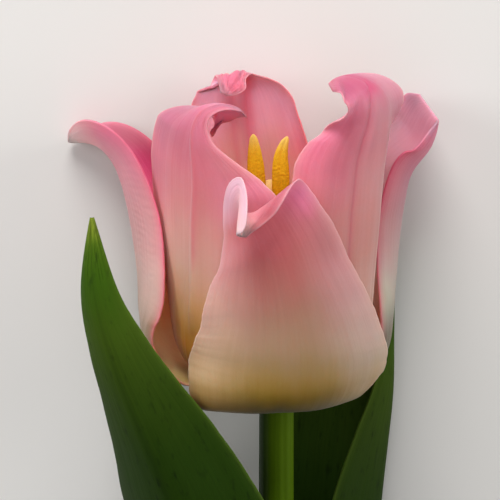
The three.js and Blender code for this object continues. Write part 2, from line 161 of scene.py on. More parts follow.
def hangSky():
    sky = bpy.data.worlds.new("studioSky")
    sky.use_nodes = True
    tree = sky.node_tree
    colour = (*studio["skyColour"], 1)
    light = tree.nodes["Background"]
    setSockets(light, {"Color": colour, "Strength": studio["skyStrength"]})
    wall = addNode(tree, "Background", {"Color": colour, "Strength": studio["backdropStrength"]})
    seen = addNode(tree, "LightPath", {}, output="Is Camera Ray")
    either = addNode(tree, "MixShader", {0: seen, 1: light.outputs[0], 2: wall})
    tree.links.new(either, tree.nodes["World Output"].inputs["Surface"])
    bpy.context.scene.world = sky


def placeLamps():
    target = Vector(metres(view["target"]))
    for lamp in studio["lamps"]:
        light = bpy.data.lights.new(lamp["name"], "AREA")
        light.shape = "DISK"
        light.size = lamp["size"] / millimetres
        light.energy = lamp["power"]
        light.color = lamp["colour"]
        item = addItem(lamp["name"], light)
        item.location = target + Vector(lamp["place"]) / millimetres
        item.rotation_euler = (target - item.location).to_track_quat("-Z", "Y").to_euler()


setUpView()
layFloor()
hangSky()
placeLamps()
print("camera, floor and lamps set")


# Shapes. A petal or leaf is a blade: a midrib with a width, folds and curls to either side of it.
bladeShape = {
    "ribSteps": 24,  # between two points of the midrib
    "slopeShare": 0.012,  # of the length to either side, over which the midrib's slope is taken
    "cupTo": 0.22,  # up to this share of its length a petal bends round the flower's axis,
    "cupFade": 0.2,  # and over this much more it takes up its own slope
    "widthSteps": 160,  # in which the curve across each half is summed
    "creaseWidth": 0.8,  # mm over which a fold turns
    "rollFrom": 0.6,  # share of the half-width where a rolled margin starts
    "rollPower": 1.5,
    "edgeWander": 0.05,  # of the half-width
    "edgeWaves": (9, 17, 31, 53),  # along the length
    "edgeFade": (0.2, 0.05),  # shares of the length at foot and tip where the margin steadies
    "edgeTaper": 2.5,  # mm of margin that thins out
    "edgeThickness": 0.4,  # of the full thickness
    "innerSkin": 40,  # mm between the two faces in the place that the finishes read
}
bladeRelief = {
    "veinHeight": 0.03,
    "veins": (40, 3),  # bumps across each half and along the length
    "swellHeight": 0.12,
    "swell": (6, 14),  # mm across and along
    "crooked": 0.6,  # mm that wrinkles stray
    "crookedSize": 2.2,
    "lineFade": 0.06,  # share of the length over which pleats and the painted crease shade start and end
}


def follow(knots, s):
    # a smooth curve through (place, value) pairs that never overshoots them
    x, y = np.array(knots, float).T
    s = np.asarray(s, float)
    if len(x) == 1:
        return np.full(s.shape, y[0])
    step = np.diff(x)
    rise = np.diff(y) / step
    slope = np.zeros(len(x))
    slope[0], slope[-1] = rise[0], rise[-1]
    for k in range(1, len(x) - 1):
        if rise[k - 1] * rise[k] > 0:
            before, after = step[k - 1], step[k]
            slope[k] = 3 * (after + before) / (
                (2 * after + before) / rise[k - 1] + (after + 2 * before) / rise[k])
    i = np.clip(np.searchsorted(x, s, side="right") - 1, 0, len(x) - 2)
    t = np.clip((s - x[i]) / step[i], 0, 1)
    return ((2 * t**3 - 3 * t**2 + 1) * y[i] + (t**3 - 2 * t**2 + t) * step[i] * slope[i]
            + (3 * t**2 - 2 * t**3) * y[i + 1] + (t**3 - t**2) * step[i] * slope[i + 1])


def ribLine(points):
    # the midrib as a function of the share of its length
    p = np.array(points, float)
    p = np.vstack([2 * p[0] - p[1], p, 2 * p[-1] - p[-2]])
    t = np.linspace(0, 1, bladeShape["ribSteps"], endpoint=False)[:, None]
    runs = []
    for i in range(1, len(p) - 2):
        a, b, c, d = p[i - 1:i + 3]
        runs.append(0.5 * (2 * b + (c - a) * t + (2 * a - 5 * b + 4 * c - d) * t**2
                           + (3 * b - a - 3 * c + d) * t**3))
    line = np.vstack(runs + [p[-2:-1]])
    share = np.concatenate([[0], np.cumsum(np.linalg.norm(np.diff(line, axis=0), axis=1))])
    share /= share[-1]
    return lambda s: np.stack([np.interp(s, share, line[:, k]) for k in range(3)], -1)


def edgeStray(form, s, hand):
    # how far the margin strays from its drawn line, as a share of the half-width
    draw = np.random.default_rng(form["seed"] * 7 + (hand > 0))
    stray = np.zeros(len(s))
    for waves in bladeShape["edgeWaves"]:
        stray += np.sin(2 * math.pi * (waves * s + draw.random())) * draw.uniform(0.4, 1) / waves
    foot, tip = bladeShape["edgeFade"]
    return stray * bladeShape["edgeWander"] * np.clip(s / foot, 0, 1) * np.clip((1 - s) / tip, 0, 1)


def halfSurface(form, s, hand):
    # how far each step across one half lies sideways and inward from the midrib, and the half-width
    def amount(kind):
        name = "Left" if hand < 0 else "Right"
        return follow(form.get(kind + name) or form.get(kind) or [(0, 0)], s)[:, None]
    shape = bladeShape
    width = follow(form["left" if hand < 0 else "right"], s)[:, None]
    width = width * (1 + edgeStray(form, s, hand))[:, None]
    band = amount("band")
    steps = shape["widthSteps"]
    way = ((np.arange(steps) + 0.5) / steps)[None, :]
    atRib = 1 / (1 + np.exp(band / shape["creaseWidth"]))
    crease = 1 / (1 + np.exp(np.clip((band - way * width) / shape["creaseWidth"], -50, 50)))
    crease = (crease - atRib) / (1 - atRib)
    rolled = np.clip((way - shape["rollFrom"]) / (1 - shape["rollFrom"]), 0, 1) ** shape["rollPower"]
    angle = (np.radians(amount("fold")) * crease + np.radians(amount("curl")) * way
             + np.radians(amount("roll")) * rolled)
    none = np.zeros((len(s), 1))
    sideways = np.hstack([none, np.cumsum(np.cos(angle) * width, axis=1) / steps])
    inward = np.hstack([none, np.cumsum(np.sin(angle) * width, axis=1) / steps])
    return sideways, inward, width[:, 0]


def middleSurface(form, rows, columns, hugsAxis):
    # the blade's middle in rows from foot to tip, each point's way from the midrib over the blade,
    # and each row's share of the length
    turn = math.radians(form["turn"])
    out = np.array([math.sin(turn), 0, math.cos(turn)])
    across = np.array([math.cos(turn), 0, -math.sin(turn)])
    points = form.get("line") or [out * r + across * side + hAxis * h for r, h, side in form["rib"]]
    rib = ribLine(points)
    s = np.linspace(0, 1, rows)
    centre = rib(s)
    slope = bladeShape["slopeShare"]
    along = unit(rib(np.minimum(s + slope, 1)) - rib(np.maximum(s - slope, 0)))
    side = unit(across - along * (along @ across)[:, None])
    free = np.ones((rows, 1))
    if hugsAxis:
        free = eased(np.clip((s - bladeShape["cupTo"]) / bladeShape["cupFade"], 0, 1))[:, None]
    bend = unit(out * (1 - free) + np.cross(side, along) * free)
    steps = bladeShape["widthSteps"]
    half = (columns - 1) // 2
    surface = np.zeros((rows, columns, 3))
    reach = np.zeros((rows, columns))
    for hand in (-1, 1):
        sideways, inward, width = halfSurface(form, s, hand)
        for j in range(half + 1):
            at = j / half * steps
            k = min(int(at), steps - 1)
            f = at - k
            a = (sideways[:, k] * (1 - f) + sideways[:, k + 1] * f)[:, None]
            b = (inward[:, k] * (1 - f) + inward[:, k + 1] * f)[:, None]
            surface[:, half + hand * j] = centre + side * hand * a - bend * b
            reach[:, half + hand * j] = width * j / half
    return surface, reach, s


def softNoise(u, v, seed):
    # smooth random values from -1 to 1 over a plane, one bump to each unit
    size = 64
    table = np.random.default_rng(seed).uniform(-1, 1, (size, size))
    iu, iv = np.floor(u).astype(int), np.floor(v).astype(int)
    fu, fv = eased(u - iu), eased(v - iv)
    a, b = table[iu % size, iv % size], table[(iu + 1) % size, iv % size]
    c, d = table[iu % size, (iv + 1) % size], table[(iu + 1) % size, (iv + 1) % size]
    return (a * (1 - fu) + b * fu) * (1 - fv) + (c * (1 - fu) + d * fu) * fv


def lineProfile(line, s, v, width):
    # 1 along a line over the blade, falling off to either side, with soft ends
    places = np.array(line["path"], float)
    off = v - follow(places, s) * width
    left, right = line["width"]
    fall = np.exp(-(off / np.where(off < 0, left, right)) ** 2)
    fade = bladeRelief["lineFade"]
    return fall * np.clip((s - places[0, 0]) / fade, 0, 1) * np.clip((places[-1, 0] - s) / fade, 0, 1)


def relief(form, s, t, u, v, width):
    # height in mm that stands out of the blade's outer face at each point
    seed = form["seed"]
    size = bladeRelief
    height = size["veinHeight"] * softNoise(t * size["veins"][0], s * size["veins"][1], seed)
    height = height + size["swellHeight"] * softNoise(v / size["swell"][0], u / size["swell"][1], seed + 1)
    for w in form.get("wrinkles", []):
        heading = math.radians(w["heading"])
        place = np.exp(-((s - w["at"][0]) / w["reach"][0]) ** 2 - ((t - w["at"][1]) / w["reach"][1]) ** 2)
        stray = size["crooked"] * softNoise(v / size["crookedSize"], u / size["crookedSize"], seed + 2)
        run = u * math.cos(heading) + v * math.sin(heading) + stray
        height = height + w["height"] * place * np.sin(2 * math.pi * run / w["spacing"])
    for pleat in form.get("pleats", []):
        height = height + pleat["height"] * lineProfile(pleat, s, v, width)
    return height


def gridNormals(surface):
    return unit(np.cross(np.gradient(surface, axis=1), np.gradient(surface, axis=0)))


def makePiece(name, points, faces, attributes, node, material):
    mesh = bpy.data.meshes.new(name)
    mesh.from_pydata(metres(points).tolist(), [], faces)
    mesh.polygons.foreach_set("use_smooth", [True] * len(mesh.polygons))
    for label, values in attributes.items():
        values = np.asarray(values, np.float32)
        kind, field = ("FLOAT_VECTOR", "vector") if values.ndim == 2 else ("FLOAT", "value")
        mesh.attributes.new(label, kind, "POINT").data.foreach_set(field, values.ravel())
    mesh.materials.append(material)
    mesh.update()
    piece = addItem(name, mesh)
    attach(piece, "root")
    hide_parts(node)


def bladeFaces(rows, columns):
    # the outer sheet, the inner sheet turned over, and a strip round the margin
    count = rows * columns
    at = np.arange(count).reshape(rows, columns)
    a, b, c, d = at[:-1, :-1].ravel(), at[:-1, 1:].ravel(), at[1:, 1:].ravel(), at[1:, :-1].ravel()
    faces = [np.stack([a, b, c, d], 1), np.stack([d, c, b, a], 1) + count]
    for edge, outward in ((at[:, 0], 1), (at[:, -1], -1), (at[0], -1), (at[-1], 1)):
        low, high = edge[:-1], edge[1:]
        strip = np.stack([low, high, high + count, low + count], 1)
        faces.append(strip[:, ::outward])
    return np.vstack(faces).tolist()


def makeBlade(name, form, material, grid, hugsAxis):
    rows, columns = grid["rows"], grid["columns"]
    surface, reach, s = middleSurface(form, rows, columns, hugsAxis)
    length = np.linalg.norm(np.diff(surface[:, columns // 2], axis=0), axis=1).sum()
    # place on the blade: s and t in shares of length and width, u and v in mm
    t = np.broadcast_to(np.linspace(-1, 1, columns), (rows, columns))
    s = np.broadcast_to(s[:, None], (rows, columns))
    u = s * length
    v = reach * np.sign(t)
    width = np.where(t < 0, reach[:, :1], reach[:, -1:])
    surface = surface + gridNormals(surface) * relief(form, s, t, u, v, width)[:, :, None]
    normals = gridNormals(surface)
    gap = np.minimum(width - reach, (1 - s) * length)
    rise = np.clip(gap / bladeShape["edgeTaper"], 0, 1)
    thin = bladeShape["edgeThickness"]
    thickness = form["thickness"] * (thin + (1 - thin) * rise * (2 - rise))
    sheets = []
    for hand in (0.5, -0.5):
        sheet = surface + normals * (hand * thickness)[:, :, None]
        # no point goes under the surface that the flower lies on
        lean = np.minimum(0, (-1 if hand > 0 else 1) * normals[:, :, 2])
        sheet[:, :, 2] = np.maximum(sheet[:, :, 2] + axisHeight, -thickness * lean) - axisHeight
        sheets.append(sheet.reshape(-1, 3))
    sides = np.repeat([0.0, 1.0], rows * columns)
    attributes = {
        "along": np.tile(s.ravel(), 2),
        "across": np.tile(t.ravel(), 2),
        "inner": sides,
        "gap": np.tile(gap.ravel(), 2),
        "flat": np.stack([np.tile(v.ravel(), 2), np.tile(u.ravel(), 2), sides * bladeShape["innerSkin"]], 1),
    }
    # each line of painted crease shade gets a mask of its own
    for index, creaseShade in enumerate(form.get("look", {}).get("stripes", [])):
        attributes[f"stripe{index}"] = np.tile(lineProfile(creaseShade, s, v, width).ravel(), 2)
    makePiece(name, np.vstack(sheets), bladeFaces(rows, columns), attributes, form["node"],
              material)


# Finishes
def colourOf(text):
    # a web colour as linear light
    parts = [int(text[k:k + 2], 16) / 255 for k in (1, 3, 5)]
    return (*[c / 12.92 if c <= 0.04045 else ((c + 0.055) / 1.055) ** 2.4 for c in parts], 1)


def maths(tree, operation, *values, clamp=False):
    return addNode(tree, "Math", dict(enumerate(values)), operation=operation, use_clamp=clamp)


def plus(tree, first, second, clamp=False):
    return maths(tree, "ADD", first, second, clamp=clamp)


def minus(tree, first, second, clamp=False):
    return maths(tree, "SUBTRACT", first, second, clamp=clamp)


def times(tree, first, second, clamp=False):
    return maths(tree, "MULTIPLY", first, second, clamp=clamp)


def centred(tree, value, size):
    # a noise value from 0 to 1 as a swing of that size round nothing
    return times(tree, minus(tree, value, 0.5), size)


def near(tree, distance, width):
    # 1 at no distance, fading over the width
    return maths(tree, "EXPONENT", maths(tree, "DIVIDE", distance, -width))


def attribute(tree, name, output="Fac"):
    return addNode(tree, "Attribute", {}, output=output, attribute_name=name)


def ramp(tree, place, stops):
    made = tree.nodes.new("ShaderNodeValToRGB")
    band = made.color_ramp
    band.interpolation = "EASE" if len(stops) < 3 else "CARDINAL"
    while len(band.elements) < len(stops):
        band.elements.new(0.5)
    for element, (where, colour) in zip(band.elements, stops):
        element.position = where
        element.color = colourOf(colour)
    tree.links.new(place, made.inputs[0])
    return made.outputs[0]


def softStep(tree, value, start, end):
    return addNode(tree, "MapRange", {"Value": value, "From Min": start, "From Max": end},
                   interpolation_type="SMOOTHSTEP")


def mixed(tree, amount, first, second):
    return addNode(tree, "Mix", {0: amount, 6: first, 7: second}, output=2, data_type="RGBA")


def noise(tree, vector, scale, detail=3, roughness=0.55, output=0):
    return addNode(tree, "TexNoise", {"Vector": vector, "Scale": scale, "Detail": detail,
                                      "Roughness": roughness}, output=output)


def stretched(tree, vector, scale):
    return addNode(tree, "Mapping", {0: vector, 3: scale})


def veinPlace(tree, scale):
    # a place for noise that runs along the veins, apart on the two faces
    parts = zip(("across", "along", "inner"), scale)
    return addNode(tree, "CombineXYZ", {k: times(tree, attribute(tree, name), size)
                                        for k, (name, size) in enumerate(parts)})


def joinSkin(tree, shader, skin, colour, height, rough):
    bump = addNode(tree, "Bump", {"Height": height, "Distance": skin["bump"] / millimetres,
                                  "Strength": skin["bumpStrength"]})
    tree.links.new(colour, shader.inputs["Base Color"])
    tree.links.new(bump, shader.inputs["Normal"])
    tree.links.new(rough, shader.inputs["Roughness"])
    setSockets(shader, {"Specular IOR Level": skin["gloss"], "Subsurface Weight": skin["glow"],
                        "Subsurface Radius": skin["glowColour"],
                        "Subsurface Scale": skin["glowDepth"] / millimetres})


petalSkin = {
    "driftScale": (0.16, 0.07, 1),  # of the uneven borders between colours, across and along
    "drift": (0.1, 0.22),  # along and across
    "veinScale": (34, 3, 9),  # across, along and between the faces
    "streakScale": 0.33,  # beside the veins
    "cellScale": (5, 1.6, 1),
    "margin": (0.1, 0.95),  # where the midrib's colours start and end to give way to the margin's
    "veins": 0.08,
    "streaks": 0.08,
    "mottle": 0.07,
    "fading": 0.6,  # how far lighter streaks lose strength of colour
    "bump": 0.12,  # mm
    "bumpStrength": 0.5,
    "bumpVeins": 0.6,
    "bumpCells": 0.3,
    "roughness": 0.5,
    "roughnessSwing": 0.12,
    "gloss": 0.35,
    "sheen": 0.12,
    "sheenRoughness": 0.4,
    "glow": 0.5,
    "glowColour": (1, 0.42, 0.36),
    "glowDepth": 1.8,  # mm
}


def faceColour(tree, look, face, along, across):
    # from the midrib's colours to those of either margin, all with the same foot, then painted shade along
    # the creases, then spots, some of them painted shade and painted light
    tones = look[face]
    middle, left, right = [ramp(tree, along, tones.get("foot", []) + tones.get(part, tones["middle"]))
                           for part in ("middle", "left", "right")]
    margins = mixed(tree, maths(tree, "GREATER_THAN", across, 0), left, right)
    aside = softStep(tree, maths(tree, "ABSOLUTE", across), *petalSkin["margin"])
    colour = mixed(tree, aside, middle, margins)
    # painted shade: darker lines along the pleats and grooves
    for index, creaseShade in enumerate(look.get("stripes", [])):
        if creaseShade["face"] == face:
            amount = times(tree, attribute(tree, f"stripe{index}"), creaseShade["amount"])
            colour = mixed(tree, amount, colour, colourOf(creaseShade["colour"]))
    # spots: marks of colour, and on some petals painted shade and painted light
    for spot in tones.get("spots", []):
        far = []
        for place, centre, reach in zip((along, across), spot["at"], spot["reach"]):
            way = maths(tree, "DIVIDE", minus(tree, place, centre), reach)
            far.append(times(tree, way, way))
        amount = times(tree, near(tree, plus(tree, *far), 1), spot["amount"])
        colour = mixed(tree, amount, colour, colourOf(spot["colour"]))
    return colour


def petalFinish(name, look):
    skin = petalSkin
    finish, tree, shader = startFinish(name)
    flat = attribute(tree, "flat", "Vector")
    drift = noise(tree, stretched(tree, flat, skin["driftScale"]), 1, 2, output=1)
    strayed = addNode(tree, "SeparateColor", {0: drift}).node.outputs
    along = plus(tree, attribute(tree, "along"), centred(tree, strayed[0], skin["drift"][0]))
    across = plus(tree, attribute(tree, "across"), centred(tree, strayed[1], skin["drift"][1]))
    place = veinPlace(tree, skin["veinScale"])
    veins = noise(tree, place, 1, 3, 0.6)
    streaks = noise(tree, place, skin["streakScale"], 2, 0.5)
    cells = noise(tree, stretched(tree, flat, skin["cellScale"]), 1, 3, 0.6)
    faces = [faceColour(tree, look, face, along, across) for face in ("outer", "inside")]
    colour = mixed(tree, attribute(tree, "inner"), *faces)
    # a band along each margin in its own colours: the margin's own pink, deep crimson on the outer side
    # petals, and on the paler rims partly a painted highlight where the rim catches the light
    edge = look["edge"]
    rim = times(tree, near(tree, attribute(tree, "gap"), edge["width"]), edge["amount"])
    colour = mixed(tree, rim, colour, ramp(tree, along, edge["colours"]))
    # streaks along the veins, and a fine mottle
    tone = plus(tree, centred(tree, veins, skin["veins"]), centred(tree, streaks, skin["streaks"]))
    tone = plus(tree, tone, centred(tree, cells, skin["mottle"]))
    strength = minus(tree, 1, times(tree, tone, skin["fading"]))
    colour = addNode(tree, "HueSaturation", {"Saturation": strength, "Value": plus(tree, 1, tone),
                                             "Color": colour})
    height = plus(tree, times(tree, veins, skin["bumpVeins"]), times(tree, cells, skin["bumpCells"]))
    rough = plus(tree, skin["roughness"], centred(tree, cells, skin["roughnessSwing"]))
    joinSkin(tree, shader, skin, colour, height, rough)
    setSockets(shader, {"Sheen Weight": skin["sheen"], "Sheen Roughness": skin["sheenRoughness"]})
    return finish


# Petals
# A rib's points say how far out from the flower's axis, up it and to the side they lie. Half-widths in mm,
# and folds, curls and rolls in degrees, stand beside shares of the length. Left and right are as seen from
# outside with the tip up. A band beside the rib stays flat before the fold. Pleats, and the painted shade
# along their creases, follow a path in shares of the length and half-width, with their width to either side
# in mm.
outerFoot = [(0, 2.2), (0.06, 6), (0.14, 12)]
innerFoot = [(0, 2), (0.06, 6), (0.15, 12)]
innerRibFoot = [(4, 0.7, 0), (8, -0.6, 0), (12, -1.3, 0), (15.6, -0.3, 0)]
# pale rims: the margin's own paler pink, and partly a painted highlight along the lit rim
innerRimAndHighlight = {"width": 0.7, "amount": 0.6, "colours": [(0, "#c3a878"), (0.4, "#eeb7a4"), (1, "#ee9aa8")]}
nearGroove = [(0.3, -0.31), (0.6, -0.33), (0.78, -0.32), (0.86, -0.2), (0.92, 0.05)]
outerFrontPetal = {
    "node": "tepal_outer_front",
    "slot": "front_petal",
    "thickness": 0.5,
    "turn": 3,
    "rib": [(4.6, -1.2, 0), (9, -3, 0), (14, -4.3, 0.1), (18.6, -3.6, 0.4), (21.6, 0, 0.9), (22.4, 6, 1.2),
            (22.3, 12, 1), (22, 18, 0.1), (21.8, 24, -1.3), (21.9, 29, -3.4), (22.8, 32.5, -5.4),
            (24.5, 33.6, -6.6), (26, 32.4, -7.2), (26.6, 30.2, -7.5)],
    "left": [*outerFoot, (0.24, 17), (0.38, 19.8), (0.57, 16.2), (0.69, 13.2), (0.79, 9.8), (0.85, 8.4),
             (0.885, 8.4), (0.905, 7.8), (0.925, 6.8), (0.945, 6.1), (0.965, 5.7), (0.985, 4.6), (1, 0.5)],
    "right": [*outerFoot, (0.24, 17.5), (0.38, 20.4), (0.57, 15.5), (0.69, 12.6), (0.79, 11.6),
              (0.88, 10.6), (0.915, 9), (0.935, 6.4), (0.96, 3.6), (0.98, 1.8), (1, 0.5)],
    "fold": [(0, 0), (0.08, 0), (0.16, 6), (0.3, 3), (0.45, 0), (0.6, 0), (0.75, 8), (0.85, 24), (1, 40)],
    "foldLeft": [(0, 0), (0.08, 0), (0.16, -12), (0.26, -8), (0.42, 0), (0.6, 0), (0.75, 14), (0.85, 40),
                 (0.885, 52), (0.905, 64), (0.925, 94), (0.945, 109), (0.97, 112), (1, 100)],
    "curl": [(0, 27), (0.06, 43), (0.14, 54), (0.24, 54), (0.38, 53), (0.57, 36), (0.69, 24), (0.79, 12),
             (0.88, 0)],
    "curlLeft": [(0, 27), (0.06, 30), (0.14, 34), (0.24, 40), (0.38, 50), (0.57, 36), (0.69, 24),
                 (0.79, 8), (0.86, 0)],
    "seed": 3,
    "look": {
        "outer": {
            # near the tip the middle runs to near white: partly the tip's own pale pink, partly painted
            # light that lifts the shade under the overhanging point
            "middle": [(0, "#343206"), (0.24, "#4c420e"), (0.33, "#927424"), (0.46, "#a78767"),
                       (0.6, "#ad7666"), (0.74, "#c36a6a"), (0.82, "#dc767f"), (0.9, "#dc8088"),
                       (0.96, "#ffbcbc"), (1, "#ffd2cc")],
            "left": [(0, "#54481f"), (0.14, "#6e5c2a"), (0.25, "#98783e"), (0.33, "#ae8f64"),
                     (0.46, "#cfab8c"), (0.56, "#dcb29e"), (0.67, "#c9988f"), (0.8, "#c68083"),
                     (0.86, "#cc8086"), (0.9, "#eab0c4"), (0.94, "#f6c0d4"), (1, "#f8c6cc")],
            "right": [(0, "#6a5a30"), (0.25, "#84672f"), (0.32, "#be9f71"), (0.42, "#c6af9d"),
                      (0.56, "#c89f9b"), (0.67, "#c28a8c"), (0.8, "#bb707a"), (0.88, "#fe8bb2"),
                      (1, "#e28391")],
        },
        "inside": {
            "foot": [(0, "#c9b877"), (0.3, "#dba58f")],
            # the near-white end here is likewise partly painted light on the shaded apex
            "middle": [(0.8, "#d87a88"), (0.93, "#f2a8b2"), (1, "#ffd2cc")],
            "left": [(0.8, "#dc8090"), (0.92, "#e8a6b8"), (1, "#eeb0b4")],
            "right": [(0.8, "#d87a88"), (0.93, "#bc586a"), (1, "#ff9a9a")],
        },
        # pale rim: the margin's own paler pink, and partly a painted highlight along the lit rim
        "edge": {"width": 0.7, "amount": 0.5,
                 "colours": [(0, "#86764a"), (0.3, "#c8a684"), (0.7, "#e0a8a4"), (1, "#eab4bc")]},
    },
}
innerLeftPetal = {
    "node": "tepal_inner_left",
    "slot": "side_petal",
    "thickness": 0.5,
    "turn": -60,
    "rib": [*innerRibFoot, (17.8, 3, 0), (18.4, 8, 0), (18.3, 16, 0), (18.3, 24, 0), (18.3, 32, 0),
            (18.2, 39, 0.3), (17.6, 44.2, 0.8), (16, 47.7, 1.5), (13.2, 49.1, 2.6), (10.2, 48.5, 3.4),
            (8.6, 46.9, 3.8)],
    "left": [*innerFoot, (0.28, 15.5), (0.5, 16), (0.7, 15.5), (0.8, 14), (0.86, 11.8), (0.92, 10.6),
             (0.97, 9.4), (1, 4.6)],
    "right": [*innerFoot, (0.28, 16.5), (0.5, 18.5), (0.67, 18.5), (0.73, 15.2), (0.78, 9.4), (0.82, 4.8),
              (0.86, 2.6), (0.9, 2), (0.96, 1.6), (1, 0.5)],
    "band": [(0, 2.5)],
    "fold": [(0, 0), (0.25, 2), (0.42, 18), (0.7, 24), (1, 30)],
    "foldLeft": [(0, 0), (0.8, 0), (0.88, 36), (0.94, 58), (1, 50)],
    "curl": [(0, 28), (0.15, 50), (0.28, 53), (0.42, 44), (0.7, 26), (0.8, 20), (1, 20)],
    "curlLeft": [(0, 28), (0.15, 50), (0.28, 40), (0.5, 20), (0.8, 4), (1, 0)],
    "seed": 11,
    "pleats": [
        {"path": [(0.3, 0.1), (0.6, 0.13), (0.78, 0.17), (0.93, 0)], "width": (0.8, 2.2), "height": 0.55},
        {"path": [(0.35, -0.5), (0.75, -0.4), (0.9, -0.3)], "width": (2, 2), "height": 0.2},
    ],
    "look": {
        "outer": {
            "middle": [(0, "#6a6a2c"), (0.25, "#ba7c14"), (0.32, "#c08c40"), (0.4, "#d09e78"),
                       (0.47, "#d3a08d"), (0.6, "#d28885"), (0.72, "#ce727f"), (0.81, "#c0657b"),
                       (0.88, "#d37591"), (1, "#e07792")],
            "left": [(0, "#8a8a50"), (0.25, "#d89a58"), (0.35, "#f0a87c"), (0.5, "#ecb29c"),
                     (0.6, "#ef9499"), (0.68, "#d47b8c"), (0.75, "#d2758a"), (0.81, "#b86a84"),
                     (1, "#d07090")],
            "right": [(0, "#8a8a50"), (0.3, "#c29870"), (0.46, "#e0a8a0"), (0.58, "#df9a9c"),
                      (0.68, "#e591a7"), (0.76, "#cc7c87"), (0.81, "#cb6b82"), (0.88, "#c75675"),
                      (1, "#e07090")],
        },
        "inside": {
            "foot": [(0, "#c9b877"), (0.3, "#e0a58f")],
            # towards the tip the inside runs to pale pink: partly its own pink, partly painted light for the
            # light that shines through the hooded tip
            "middle": [(0.7, "#f088a2"), (0.88, "#ffbcd8"), (1, "#ffb8d4")],
            "left": [(0.7, "#f898b0"), (0.88, "#ffbcd8"), (0.94, "#ffa8c4"), (1, "#ff8cac")],
            "right": [(0.7, "#e8809a"), (0.9, "#ff9cbc"), (1, "#ffb4d0")],
        },
        # a darker line along the pleat's crease, painted shade
        "stripes": [
            {"face": "outer", "path": [(0.46, 0.13), (0.6, 0.14), (0.78, 0.18), (0.93, 0.02)],
             "width": (0.6, 0.6), "colour": "#c8606e", "amount": 0.5},
        ],
        "edge": innerRimAndHighlight,
    },
}
innerRightPetal = {
    "node": "tepal_inner_right",
    "slot": "side_petal",
    "thickness": 0.5,
    "turn": 60,
    "rib": [*innerRibFoot, (17.8, 3, 0), (18.5, 9, 0), (19, 18, 0.2), (19.6, 28, 0.5), (20.2, 38, 0.8),
            (20.6, 45, 1), (20, 49.8, 0.8), (18.4, 52.6, 0.2), (16, 54, -0.8), (13.6, 54.1, -2),
            (12, 53, -3)],
    "right": [*innerFoot, (0.28, 15), (0.5, 14), (0.7, 13), (0.79, 12.2), (0.84, 11.2), (0.87, 9),
              (0.9, 6.8), (0.94, 4.8), (0.97, 3.8), (1, 2.2)],
    "left": [*innerFoot, (0.28, 16.5), (0.5, 18), (0.7, 17), (0.76, 14.8), (0.8, 12.2), (0.84, 11.2),
             (0.88, 10.4), (0.92, 10.2), (0.96, 10.2), (0.985, 8.6), (1, 6)],
    "band": [(0, 2.5)],
    "bandRight": [(0, 0.8)],
    "foldLeft": [(0, 0), (0.25, 2), (0.42, 18), (0.7, 24), (0.8, 26), (0.86, 16), (0.92, 6), (1, 24)],
    "foldRight": [(0, 0), (0.2, 10), (0.32, 38), (0.7, 36), (0.84, 6), (1, 20)],
    "curlLeft": [(0, 28), (0.15, 50), (0.28, 53), (0.42, 46), (0.7, 34), (0.8, 30), (0.86, 22), (0.92, 10),
                 (1, 20)],
    "curlRight": [(0, 28), (0.15, 50), (0.28, 40), (0.5, 20), (0.8, 4), (1, 0)],
    "seed": 19,
    "pleats": [
        {"path": nearGroove, "width": (0.9, 0.9), "height": -0.6},
        {"path": [(0.3, -0.09), (0.6, -0.09), (0.8, 0.1), (0.92, 0.3)], "width": (1.6, 2.4), "height": 0.4},
    ],
    "look": {
        "outer": {
            "middle": [(0, "#6a6a2c"), (0.25, "#b08a58"), (0.39, "#cba092"), (0.5, "#c8928a"),
                       (0.6, "#cc908e"), (0.67, "#ca9092"), (0.74, "#c8878e"), (0.81, "#bf7e8a"),
                       (0.88, "#c2748a"), (0.95, "#b85c7c"), (1, "#c06480")],
            "left": [(0, "#8a8a50"), (0.3, "#b08870"), (0.53, "#c28a84"), (0.6, "#cc7c7d"),
                     (0.67, "#f08699"), (0.75, "#e87492"), (0.82, "#ee7898"), (0.88, "#ee80a2"),
                     (0.95, "#b4587a"), (1, "#b45e7a")],
            "right": [(0, "#8a8a50"), (0.3, "#c0a080"), (0.6, "#d098a0"), (0.81, "#cc8094"),
                      (0.88, "#cf8ca0"), (1, "#cc84a0")],
            # three darker spots are painted shade on the left half and under the hooked tip; the pale one is
            # painted light that lifts the fold's shadow by the left margin
            "spots": [
                {"at": (0.72, -0.5), "reach": (0.1, 0.16), "colour": "#bc6478", "amount": 0.6},
                {"at": (0.9, -0.12), "reach": (0.03, 0.28), "colour": "#cc4878", "amount": 0.6},
                {"at": (0.95, -0.25), "reach": (0.03, 0.4), "colour": "#c84874", "amount": 0.45},
                {"at": (0.83, -0.88), "reach": (0.07, 0.25), "colour": "#ff98b4", "amount": 0.6},
            ],
        },
        "inside": {
            "foot": [(0, "#c9b877"), (0.3, "#e0a58f"), (0.7, "#e07a8e")],
            "middle": [(1, "#e78aa0")],
            "left": [(1, "#eda0b2")],
        },
        # a darker line in the groove beside the midrib, painted shade
        "stripes": [
            {"face": "outer", "path": nearGroove, "width": (0.8, 0.5), "colour": "#c45a70",
             "amount": 0.45},
        ],
        "edge": innerRimAndHighlight,
    },
}
